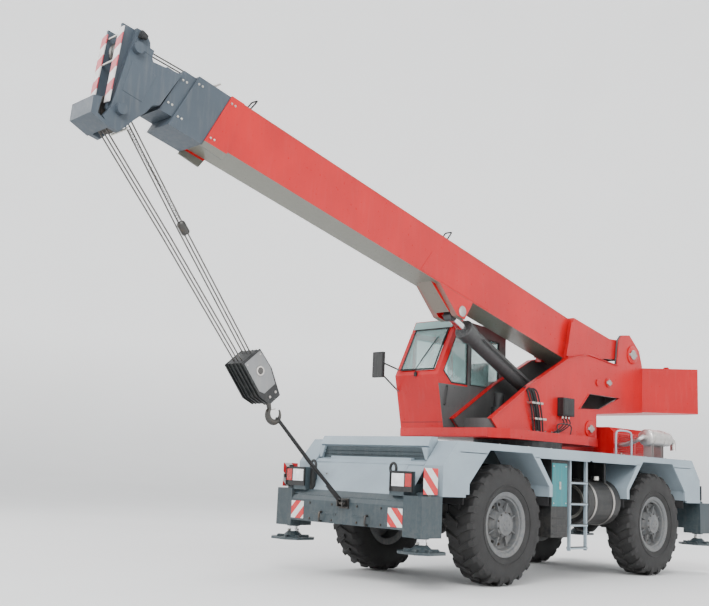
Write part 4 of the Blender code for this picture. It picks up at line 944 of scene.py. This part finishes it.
def cab_details():
    """Panes with rubber seals, wiper, lamps, rails, mirror glass and levers."""
    seal, pane = [], []
    side_windows = [
        [(-1.26, 2.78), (-1.08, 2.62), (-0.72, 2.62), (-0.72, 3.36), (-0.98, 3.36)],
        [(-0.66, 2.62), (0.02, 2.62), (0.02, 3.34), (-0.66, 3.36)],
    ]

    def rim(outline, low, high, width, axis="X"):
        """A thin frame just inside an opening."""
        centre = Vector((sum(p[0] for p in outline) / len(outline), sum(p[1] for p in outline) / len(outline)))
        made = []
        for a, b in zip(outline, outline[1:] + outline[:1]):
            a, b = Vector(a), Vector(b)
            in_a = a + (centre - a).normalized() * width * 1.3
            in_b = b + (centre - b).normalized() * width * 1.3
            made.append(prism([tuple(a), tuple(b), tuple(in_b), tuple(in_a)], low, high, axis))
        return made

    for outline in side_windows:
        seal += rim(outline, CAB_LEFT - 0.030, CAB_LEFT + 0.004, 0.018)
        pane.append(prism(outline, CAB_LEFT - 0.022, CAB_LEFT - 0.016))
    rear_window = [(CAB_RIGHT + 0.12, 2.75), (CAB_LEFT - 0.12, 2.75), (CAB_LEFT - 0.12, 3.36), (CAB_RIGHT + 0.12, 3.36)]
    seal += rim(rear_window, 0.172, 0.203, 0.018, "Y")
    pane.append(prism(rear_window, 0.184, 0.190, "Y"))
    screen = [(-1.362, 2.80), (-1.053, 3.44), (-1.047, 3.437), (-1.356, 2.797)]
    x0, x1 = CAB_RIGHT + 0.09, CAB_LEFT - 0.09
    pane.append(prism(screen, x0, x1))
    bars = [((x0, x0 + 0.018), screen), ((x1 - 0.018, x1), screen)]
    for (a, b), outline in bars:
        seal.append(prism([(y - 0.006 if i in (0, 1) else y + 0.004, z) for i, (y, z) in enumerate(outline)], a, b))
    seal.append(box((x0, x1), (-1.372, -1.340), (2.795, 2.815)))
    seal.append(box((x0, x1), (-1.075, -1.045), (3.418, 3.437)))
    make("cab_panes", "superstructure", PAINT["glass"], pane, TOP, 0)
    make("cab_seals", "superstructure", PAINT["hose"], seal, TOP, 0.001)
    door_glass = [box((CAB_RIGHT + 0.016, CAB_RIGHT + 0.022), (-0.985, -0.20), (2.665, 3.320))]
    make("cab_door_pane", "cab_door", PAINT["glass"], door_glass, TOP, 0)
    outline = [(-0.982, 2.668), (-0.203, 2.668), (-0.203, 3.317), (-0.982, 3.317)]
    make("cab_door_seal", "cab_door", PAINT["hose"], rim(outline, CAB_RIGHT - 0.001, CAB_RIGHT + 0.036, 0.016), TOP,
         0.001)
    handle = [tube(smooth_path([(CAB_RIGHT + 0.002, -0.20, 2.45), (CAB_RIGHT - 0.03, -0.20, 2.46),
                                (CAB_RIGHT - 0.03, -0.20, 2.56), (CAB_RIGHT + 0.002, -0.20, 2.57)], 5), 0.008)]
    make("cab_door_handle", "cab_door", PAINT["black_paint"], handle, TOP, 0)
    hinges = [rod(z, z + 0.09, 0.012, "Z", (CAB_RIGHT - 0.010, -1.064, 0)) for z in (2.25, 2.75, 3.20)]
    make("cab_door_hinges", "superstructure", PAINT["black_paint"], hinges, TOP, 0.001)
    arm = [tube([(-0.79, -1.392, 2.76), (-0.79, -1.360, 2.84), (-0.66, -1.215, 3.14)], 0.006),
           box((-0.81, -0.77), (-1.405, -1.372), (2.70, 2.76))]
    blade = [tube([(-0.76, -1.325, 2.92), (-0.60, -1.135, 3.30)], 0.008)]
    make("screen_wiper", "superstructure", PAINT["black_paint"], arm + blade, TOP, 0.001)
    roof = [box((-1.13, -0.45), (-0.90, 0.12), (3.52, 3.528))]
    roof = [prism([(-0.93, 3.566), (0.14, 3.503), (0.14, 3.512), (-0.93, 3.576)], -1.12, -0.46)]
    make("cab_roof_panel", "superstructure", PAINT["crane_red"], roof, TOP, 0.003)
    lamp = [turned([(-1.03, 0), (-1.03, 0.05), (-0.99, 0.062), (-0.95, 0.05), (-0.94, 0)], "Y", (-0.52, 0, 3.62))]
    lamp += [box((-0.535, -0.505), (-0.99, -0.96), (3.555, 3.60))]
    make("work_lamp", "superstructure", PAINT["black_paint"], lamp, TOP, 0.001)
    make("work_lamp_lens", "superstructure", PAINT["clear_lens"],
         [turned([(-1.034, 0), (-1.034, 0.046), (-1.028, 0.048), (-1.028, 0)], "Y", (-0.52, 0, 3.62))], TOP, 0)
    rail = smooth_path([(CAB_LEFT + 0.0, -1.22, 2.30), (CAB_LEFT + 0.022, -1.22, 2.32), (CAB_LEFT + 0.022, -1.18, 2.55),
                        (CAB_LEFT, -1.17, 2.57)], 5)
    make("cab_grab_rail", "superstructure", PAINT["black_paint"], [tube(rail, 0.009)], TOP, 0)
    strip_low = [prism([(-1.2365, 2.052), (-1.2385, 2.072), (-1.222, 2.072), (-1.220, 2.052)], CAB_RIGHT + 0.03,
                       CAB_LEFT - 0.01)]
    crown = [prism([(-1.062, 3.438), (-1.004, 3.556), (-0.994, 3.556), (-1.050, 3.438)], CAB_RIGHT + 0.04,
                   CAB_LEFT - 0.03)]
    make("cab_roof_glass", "superstructure", PAINT["roof_glass"], crown, TOP, 0.002)
    make("cab_lower_strip", "superstructure", PAINT["black_paint"], strip_low, TOP, 0.002)
    glass_at = [box((-1.29, -1.11), (-1.709, -1.707), (2.685, 3.015))]
    make("mirror_glass", "superstructure", PAINT["mirror"], glass_at, TOP, 0)
    housing = [box((-1.304, -1.096), (-1.764, -1.7095), (2.664, 3.036))]
    make("mirror_housing", "superstructure", PAINT["black_paint"], housing, TOP, 0.01)
    levers = [tube([(-1.02 + 0.07 * i, -0.78, 2.25), (-1.02 + 0.07 * i, -0.74, 2.62)], 0.007) for i in (0, 6)]
    levers += [turned([(2.60, 0), (2.61, 0.018), (2.64, 0.022), (2.67, 0.014), (2.675, 0)], "Z",
                      (-1.02 + 0.07 * i, -0.74, 0), 16) for i in (0, 6)]
    levers += [box((-1.10, -0.98), (-0.86, -0.66), (1.981, 2.30)), box((-0.66, -0.54), (-0.86, -0.66), (1.981, 2.30))]
    make("cab_levers", "superstructure", PAINT["black_paint"], levers, TOP, 0.004)


def cushion(name, x, y, z, crown, parts):
    """A crowned cushion in a box, with sewn channels across it."""
    nx, ny = 22, 22
    points, faces = [], []

    def height(u, v):
        edge = (1 - abs(2 * u - 1) ** 5) * (1 - abs(2 * v - 1) ** 5)
        channel = abs(math.sin(math.pi * parts * v)) ** 0.35
        return max(edge, 0) ** 0.45 * (0.72 + 0.28 * channel)

    for top in (True, False):
        for i in range(nx + 1):
            for j in range(ny + 1):
                u, v = i / nx, j / ny
                pull = 0.012 * (1 - abs(2 * v - 1) ** 2) * (1 - abs(2 * u - 1))
                px = x[0] + (x[1] - x[0]) * u
                py = y[0] + (y[1] - y[0]) * v
                low = z[0] + 0.25 * (z[1] - z[0])
                pz = low + (z[1] - low) * height(u, v) if top else low - (low - z[0]) * height(u, v) ** 0.6
                points.append((px, py - pull * 0, pz))
    size = (nx + 1) * (ny + 1)
    for i in range(nx):
        for j in range(ny):
            a, b, c, d = (i * (ny + 1) + j, (i + 1) * (ny + 1) + j, (i + 1) * (ny + 1) + j + 1, i * (ny + 1) + j + 1)
            faces.append((a, b, c, d))
            faces.append((size + d, size + c, size + b, size + a))
    return points, faces


def seat():
    """Seat and back cushions on a pedestal, in place of the CAD seat."""
    base = [box((-0.93, -0.67), (-0.36, -0.04), (1.981, 2.06)), rod(2.05, 2.26, 0.07, "Z", (-0.80, -0.20, 0)),
            box((-1.00, -0.60), (-0.40, 0.00), (2.25, 2.32))]
    make("seat_base", "superstructure", PAINT["black_paint"], base, TOP, 0.006, ("operator_seat",))
    flat = cushion("seat", (-1.02, -0.58), (-0.42, 0.00), (2.32, 2.46), 0.03, 4)
    back = cushion("back", (-1.00, -0.60), (0.0, 0.60), (0.0, 0.11), 0.03, 5)
    upright = Matrix.Translation((0, 0.08, 2.44)) @ Matrix.Rotation(math.radians(90), 4, "X")
    back = moved(back, upright)
    for name, shape in (("seat_cushion", flat), ("seat_back_cushion", back)):
        made = make(name, "superstructure", PAINT["seat_cloth"], [shape], TOP, 0, smooth=80, rides=False)
        weld = made.modifiers.new("join_rims", "WELD")
        weld.merge_threshold = 0.0005
        rounder = made.modifiers.new("rounder", "SUBSURF")
        rounder.levels = rounder.render_levels = 1
        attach(made, "superstructure")


# ---------------------------------------------------------------- lift cylinder and winch
def lift_cylinder():
    eye = BOOM @ Vector((0, -4.10, -0.84)) - Vector((0, 0, 0.05))
    run, rise = LIFT_PIN.y - eye.y, eye.z - LIFT_PIN.z
    length, angle = math.hypot(run, rise), math.atan2(rise, run)
    place = Matrix.Translation(LIFT_PIN) @ Matrix.Rotation(-angle, 4, "X")
    end = length - 0.32
    barrel = [turned([(-0.10, 0), (-0.10, 0.105), (-0.115, 0.12), (-end + 0.17, 0.12), (-end + 0.16, 0.143),
                      (-end + 0.01, 0.143), (-end, 0.135), (-end, 0.068), (-end + 0.02, 0.066), (-end + 0.3, 0.066),
                      (-end + 0.3, 0)], "Y", sides=64)]
    barrel += [rod(-0.09, 0.09, 0.113, "X", sides=48)]
    barrel += bolts(ring_of(12, 0.108, (0, -end + 0.002, 0), "Y"), 0.011, 0.012, "Y", -1)
    barrel += [box((0.112, 0.150), (-0.34, -0.26), (-0.04, 0.04)), tube([(0.14, -0.30, 0), (0.150, -0.5, 0.0),
               (0.148, -end + 0.30, 0)], 0.013)]
    make("lift_cylinder_barrel", "lift_barrel", PAINT["cylinder_paint"], barrel, place, 0.001, ("lift_barrel",))
    shaft = [turned([(-end + 0.29, 0), (-end + 0.29, 0.0645), (-length + 0.03, 0.0645), (-length + 0.03, 0)], "Y",
                    sides=56)]
    make("lift_cylinder_rod", "lift_rod", PAINT["rod_chrome"], shaft, place, 0.001, ("lift_rod",))
    head = [rod(-0.07, 0.07, 0.070, "X", (0, -length, 0), 48)]
    make("lift_rod_eye", "lift_rod", PAINT["cylinder_paint"], head, place, 0.001)
    pin = BOOM @ Matrix.Translation((0, -4.10, -0.84))
    caps = both(turned([(0.214, 0), (0.214, 0.075), (0.226, 0.075), (0.232, 0.06), (0.232, 0)], "X"))
    make("lift_pin_caps", "boom", PAINT["bare_steel"], caps, pin, 0.001)


def winch():
    """The drum with its rope in even turns."""
    place = BOOM @ Matrix.Translation((0, -0.667, -0.097))
    flanges = both(turned([(0.140, 0.04), (0.140, 0.197), (0.145, 0.199), (0.158, 0.199), (0.161, 0.197), (0.161, 0.06),
                           (0.202, 0.05), (0.202, 0.02)], "X"))
    spokes = both(*[moved(box((0.161, 0.166), (-0.008, 0.008), (0.07, 0.185)), Matrix.Rotation(math.pi * k / 4, 4, "X"))
                    for k in range(8)])
    make("winch_flanges", "winch", PAINT["black_paint"], flanges + spokes, place, 0.001, ("winch_drum",))
    turns = []
    for layer, radius in ((0, 0.140), (1, 0.158)):
        count = 14 - layer
        for i in range(count):
            x = (-0.130 + 0.0195 * i) + layer * 0.0097
            turns.append(turned([(x - 0.0094, radius - 0.004), (x - 0.006, radius + 0.006), (x, radius + 0.0095),
                                 (x + 0.006, radius + 0.006), (x + 0.0094, radius - 0.004)], "X", sides=40))
    turns.append(rod(-0.14, 0.14, 0.135, "X"))
    make("winch_rope_turns", "winch", PAINT["wire_rope"], turns, place, 0)


# ---------------------------------------------------------------- boom
def boom_details():
    """Doubler plates, weld seams, pads, rope guides and stops on the boom sections."""
    front = 8.51
    seams = []
    for z in (-0.003, -0.637):
        seams += both(tube([(0.2145, -1.3, z), (0.2145, -8.45, z)], 0.004, 6))
    ridge = [tube([(0.0, -4.9, 0.010), (0.0, -7.3, 0.010)], 0.018, 12)]
    guides = []
    for s, lean, high in ((8.18, -0.10, 0.23), (4.55, -0.10, 0.22), (6.4, 0, 0.06), (2.6, 0, 0.06)):
        guides.append(tube(smooth_path([(-0.06, -s, -0.004), (-0.06, -s - lean, high - 0.02), (-0.04, -s - lean, high),
                                        (0.04, -s - lean, high), (0.06, -s - lean, high - 0.02), (0.06, -s, -0.004)], 5),
                           0.010))
        guides.append(rod(-0.10, 0.10, 0.013, "X", (0, -s, 0.040), 16))
        guides += both(box((0.088, 0.102), (-s - 0.03, -s + 0.03), (-0.004, 0.055)))
    loop = tube(smooth_path([(-0.06, -8.80, -0.04), (-0.06, -8.62, 0.13), (-0.04, -8.60, 0.15), (0.04, -8.60, 0.15),
                             (0.06, -8.62, 0.13), (0.06, -8.80, -0.04)], 5), 0.010)
    make("section_rope_loop", "section_2", PAINT["zinc"], [loop], BOOM, 0)
    make("boom_seams", "boom", PAINT["boom_red"], seams, BOOM, 0)
    make("boom_rope_guides", "boom", PAINT["black_paint"], guides, BOOM, 0.001)
    make("boom_top_pipe", "boom", PAINT["crane_red"], ridge, BOOM, 0)
    plates = both(prism(along([(4.90, -0.30), (3.70, -0.30), (3.55, -0.62), (5.05, -0.62)]), 0.2145, 0.2195),
                  prism(along([(1.70, -0.06), (1.20, -0.04), (1.30, -0.50), (1.70, -0.62)]), 0.298, 0.304))
    make("boom_doublers", "boom", PAINT["crane_red"], plates, BOOM, 0.002)
    pads = []
    for index, (half, start, top, low) in enumerate(((0.227, front, -0.02, -0.70), (0.210, 8.96, -0.03, -0.68),
                                                     (0.185, 9.13, -0.08, -0.58))):
        for z in (top - 0.07, low + 0.10):
            s = start - 0.27 * z - 0.07
            pads.append((index, both(*bolts([(half, -s - dy, z) for dy in (-0.025, 0.025)], 0.010, 0.012))))
    for index, body in enumerate(("boom", "section_2", "section_3")):
        shapes = [shape for i, group in pads for shape in group if i == index]
        make(f"pad_bolts_{body}", body, PAINT["zinc"], shapes, BOOM, 0)
    rope_line = [(0.03, -0.70, 0.075), (0.03, -2.4, 0.066), (0.03, -4.6, 0.062), (0.03, -6.8, 0.062), (0.03, -8.2, 0.062)]
    make("boom_hoist_rope", "boom", PAINT["wire_rope"], [tube(rope_line, 0.0085, 10)], BOOM, 0)
    lead = [tube([(x, -8.25, 0.075), (x, -9.0, 0.045), (x, -9.72, 0.0)], 0.0085, 10) for x in (-0.035, 0.03)]
    make("head_lead_rope", "tip", PAINT["wire_rope"], lead, BOOM, 0)
    foot = both(turned([(0.298, 0.082), (0.298, 0.14), (0.306, 0.14), (0.306, 0.082)], "X"))
    make("boom_foot_rings", "boom", PAINT["crane_red"], foot, BOOM, 0.001)


def sheave(radius, x, at):
    """One grooved sheave with lightening recesses."""
    profile = [(-0.028, 0.03), (-0.030, 0.06), (-0.014, 0.07), (-0.012, radius - 0.05), (-0.028, radius - 0.035),
               (-0.030, radius - 0.002), (-0.022, radius), (-0.010, radius - 0.022), (0, radius - 0.027),
               (0.010, radius - 0.022), (0.022, radius), (0.030, radius - 0.002), (0.028, radius - 0.035),
               (0.012, radius - 0.05), (0.014, 0.07), (0.030, 0.06), (0.028, 0.03)]
    return turned([(a + x, r) for a, r in profile], "X", at, 64)


def head_details():
    for name, at, radius in (("upper_sheaves", UPPER_SHEAVE, 0.148), ("lower_sheaves", LOWER_SHEAVE, 0.188)):
        wheels = [sheave(radius, x, at) for x in (-0.067, 0.0, 0.067)]
        wheels.append(rod(-0.124, 0.124, 0.055, "X", at))
        make(f"{name}_grooved", "tip", PAINT["dark_steel"], wheels, BOOM, 0.001, (name,))
        caps = both(turned([(0.274, 0), (0.274, 0.05), (0.268, 0.061), (0.215, 0.061), (0.215, 0)], "X", at))
        make(f"{name}_pin_caps", "tip", PAINT["slate_paint"], caps, BOOM, 0.001)
    flange = [(9.950, 0.0), (9.962, 0.0), (9.940, -0.20), (9.860, -0.84), (9.848, -0.84), (9.928, -0.20)]
    bands = both(prism(along(flange), 0.112, 0.2145))
    make("head_warning_bands", "tip", PAINT["head_warning"], bands, BOOM, 0.001)
    tab = both(prism(along([(9.56, -0.06), (9.80, -0.06), (9.80, -0.12), (9.56, -0.14)]), 0.214, 0.220),
               prism(along([(9.45, -0.30), (9.76, -0.30), (9.76, -0.66), (9.52, -0.66)]), 0.214, 0.219))
    make("head_doublers", "tip", PAINT["slate_paint"], tab, BOOM, 0.002)
    keeper = [rod(-0.15, 0.15, 0.012, "X", (0, -s, t), 16) for s, t in ((9.93, -0.05), (9.90, -0.35), (9.55, -0.98))]
    make("rope_keepers", "tip", PAINT["zinc"], keeper, BOOM, 0)
    lamp = [turned([(-9.70, 0), (-9.70, 0.03), (-9.76, 0.045), (-9.78, 0.045), (-9.78, 0)], "Y", (0.25, 0, 0.0))]
    make("head_lamp", "tip", PAINT["black_paint"], lamp, BOOM, 0.001)


# ---------------------------------------------------------------- hook
def falls_and_hook():
    """Six parts of rope, the block with its sheaves, and the forged hook."""
    ropes = []
    for x in (-0.067, 0.0, 0.067):
        for y in (-0.085, 0.085):
            ropes.append(tube([(x, y * 1.9, -0.10), (x, y * 1.3, -1.4), (x, y * 0.9, -BLOCK_TOP - 0.02)], 0.0085, 10))
    make("hoist_ropes", "falls", PAINT["wire_rope"], ropes, FALLS, 0, ("hoist_falls",))
    top = -BLOCK_TOP
    sheaves = [turned([(a + x, r) for a, r in ((-0.026, 0.03), (-0.028, 0.125), (-0.018, 0.13), (0, 0.108),
                                               (0.018, 0.13), (0.028, 0.125), (0.026, 0.03))],
                      "X", (0, 0, top - 0.20), 48) for x in (-0.067, 0.0, 0.067)]
    make("block_sheaves", "hook_group", PAINT["dark_steel"], sheaves + [rod(-0.19, 0.19, 0.04, "X", (0, 0, top - 0.20))],
         FALLS, 0.001)
    cheek = [(-0.150, top), (0.150, top), (0.165, top - 0.27), (0.085, -BLOCK_BOTTOM), (-0.085, -BLOCK_BOTTOM),
             (-0.155, -BLOCK_BOTTOM + 0.14)]
    plates = []
    for x in (0.150, 0.098, 0.032):
        plates += both(prism(cheek, x, x + (0.02 if x > 0.12 else 0.006)))
    plates += [box((-0.165, 0.165), (-0.07, 0.07), (-BLOCK_BOTTOM + 0.0, -BLOCK_BOTTOM + 0.09)),
               prism([(y * 0.88, z - 0.0) for y, z in cheek], -0.140, 0.140)]
    make("block_cheeks", "hook_group", PAINT["black_paint"], plates, FALLS, 0.003, ("hook_block",))
    band = both(prism([(-0.135, top - 0.015), (0.135, top - 0.015), (0.148, top - 0.25), (0.095, top - 0.44),
                       (-0.095, top - 0.44), (-0.140, top - 0.38)], 0.1695, 0.176))
    make("block_side_plate", "hook_group", PAINT["block_plate"], band, FALLS, 0.002)
    pins = both(turned([(0.168, 0), (0.168, 0.062), (0.185, 0.055), (0.185, 0)], "X", (0, 0, top - 0.20)))
    pins += both(*bolts([(0.17, y, top + dz) for y, dz in ((-0.11, -0.05), (0.11, -0.05), (0.05, -0.52), (-0.05, -0.52))],
                        0.011, 0.012))
    make("block_pins", "hook_group", PAINT["bare_steel"], pins, FALLS, 0.001)
    centre = Vector((0, 0, -BLOCK_BOTTOM - 0.20))
    path = [centre + Vector((0, 0, 0.19)), centre + Vector((0, 0, 0.13))]
    radius = 0.092
    for i in range(15):
        angle = math.radians(78 - 255 * i / 14)
        path.append(centre + Vector((0, -radius * math.cos(angle), radius * math.sin(angle))))
    widths = [0.030, 0.030] + [0.028 + 0.010 * math.sin(math.pi * min(i, 10) / 10) - 0.018 * max(0, i - 9) / 5
                               for i in range(15)]
    points, faces = [], []
    sides = 14
    for i, (point, width) in enumerate(zip(path, widths)):
        ahead = (path[min(i + 1, len(path) - 1)] - path[max(i - 1, 0)]).normalized()
        side = Vector((1, 0, 0))
        up = ahead.cross(side)
        for k in range(sides):
            a = 2 * math.pi * k / sides
            points.append(tuple(point + width * (0.85 * math.cos(a) * side + math.sin(a) * up)))
        if i:
            base = (i - 1) * sides
            faces += [(base + k, base + (k + 1) % sides, base + sides + (k + 1) % sides, base + sides + k)
                      for k in range(sides)]
    faces += [tuple(range(sides - 1, -1, -1)), tuple(range(len(points) - sides, len(points)))]
    nut = [turned([(0, 0), (0, 0.05), (0.035, 0.05), (0.035, 0)], "Z", (0, 0, -BLOCK_BOTTOM - 0.035), 32)]
    make("hook_forging", "hook_group", PAINT["dark_steel"], [(points, faces)] + nut, FALLS, 0, ("hook",), 60)
    latch = [tube([centre + Vector((0, -0.020, 0.075)), centre + Vector((0, 0.055, 0.035))], 0.006)]
    make("hook_latch", "hook_group", PAINT["zinc"], latch, FALLS, 0)
    hooked = FALLS @ (centre + Vector((0, 0, -0.075)))
    ring = Vector((0, SLEW_Y - 3.53, 0.955))
    slings = []
    for x in (-0.022, 0.022):
        slings.append(tube([hooked + Vector((x * 0.6, 0, 0.02)), hooked.lerp(ring, 0.5) + Vector((x, 0, 0)),
                            ring + Vector((x * 0.7, 0, 0.02))], 0.013))
    slings.append(tube([hooked.lerp(ring, 0.80), hooked.lerp(ring, 0.97)], 0.028, 14))
    make("hook_slings", "hook_group", PAINT["hose"], slings, None, 0)
    links = []
    for i in range(38):
        links.append(turned([(-0.0035, 0.0165), (0.0, 0.020), (0.0035, 0.0165), (0.0, 0.013)], "XY"[i % 2],
                            (0.03, 0.115, -0.22 - 0.029 * i), 12))
    weight = [turned([(-1.48, 0), (-1.48, 0.040), (-1.46, 0.048), (-1.35, 0.048), (-1.33, 0.035), (-1.32, 0)], "Z",
                     (0.03, 0.115, 0), 32)]
    make("limit_chain", "falls", PAINT["dark_steel"], links + weight, FALLS, 0)


# ---------------------------------------------------------------- studio
def studio():
    profile = [(0, 0), (36, 0), (42, 0.5), (47, 2.2), (51, 5.5), (53.5, 11.0), (54.5, 20.0), (55, 50.0)]
    points, faces = [], []
    sides = 96
    for r, z in profile:
        for i in range(sides):
            angle = 2 * math.pi * i / sides
            points.append((r * math.cos(angle), r * math.sin(angle), z))
    for row in range(len(profile) - 1):
        for i in range(sides):
            j = (i + 1) % sides
            faces.append((row * sides + i, row * sides + j, (row + 1) * sides + j, (row + 1) * sides + i))
    mesh = bpy.data.meshes.new("studio_floor")
    mesh.from_pydata(points, [], faces)
    mesh.materials.append(studio_floor("studio_paper"))
    mesh.shade_smooth()
    floor = bpy.data.objects.new("studio_floor", mesh)
    bpy.context.scene.collection.objects.link(floor)
    world = bpy.data.worlds.new("studio_air")
    world.use_nodes = True
    world.node_tree.nodes["Background"].inputs["Color"].default_value = (0.93, 0.96, 1.0, 1.0)
    world.node_tree.nodes["Background"].inputs["Strength"].default_value = 0.85
    bpy.context.scene.world = world
    for name, place, size, power in (("key", (9.0, -13.0, 12.5), 8.0, 2600), ("fill", (-12.0, -9.0, 8.0), 9.0, 900),
                                     ("low", (10.0, 3.0, 3.5), 6.0, 350), ("back", (-2.0, 13.0, 12.0), 8.0, 1100)):
        light = bpy.data.lights.new(name, "AREA")
        light.energy = power
        light.size = size
        lamp = bpy.data.objects.new(name, light)
        lamp.location = place
        lamp.rotation_euler = (Vector((0, 0.5, 2.0)) - Vector(place)).to_track_quat("-Z", "Y").to_euler()
        bpy.context.scene.collection.objects.link(lamp)


def camera():
    """The photograph's viewpoint: low, off the crane's front left."""
    yaw, pitch, roll = math.radians(46.035), math.radians(9.656), math.radians(2.623)
    forward = Vector((-math.sin(yaw) * math.cos(pitch), math.cos(yaw) * math.cos(pitch), math.sin(pitch)))
    right = Vector((math.cos(yaw), math.sin(yaw), 0))
    up = right.cross(forward)
    across = right * math.cos(roll) + up * math.sin(roll)
    upward = up * math.cos(roll) - right * math.sin(roll)
    data = bpy.data.cameras.new("camera")
    data.sensor_width = 36.0
    data.lens = 50.69
    made = bpy.data.objects.new("camera", data)
    matrix = Matrix.Identity(4)
    for column, axis in enumerate((across, upward, -forward)):
        for row in range(3):
            matrix[row][column] = axis[row]
    matrix.translation = Vector((8.878, -10.107, 1.291))
    made.matrix_world = matrix
    bpy.context.scene.collection.objects.link(made)
    bpy.context.scene.camera = made


repaint()
tyres_and_rims()
axle_details()
deck_details()
front_details()
outrigger_details()
side_details()
engine_details()
superstructure_details()
counterweight_details()
cab_details()
seat()
lift_cylinder()
winch()
boom_details()
head_details()
falls_and_hook()
studio()
camera()
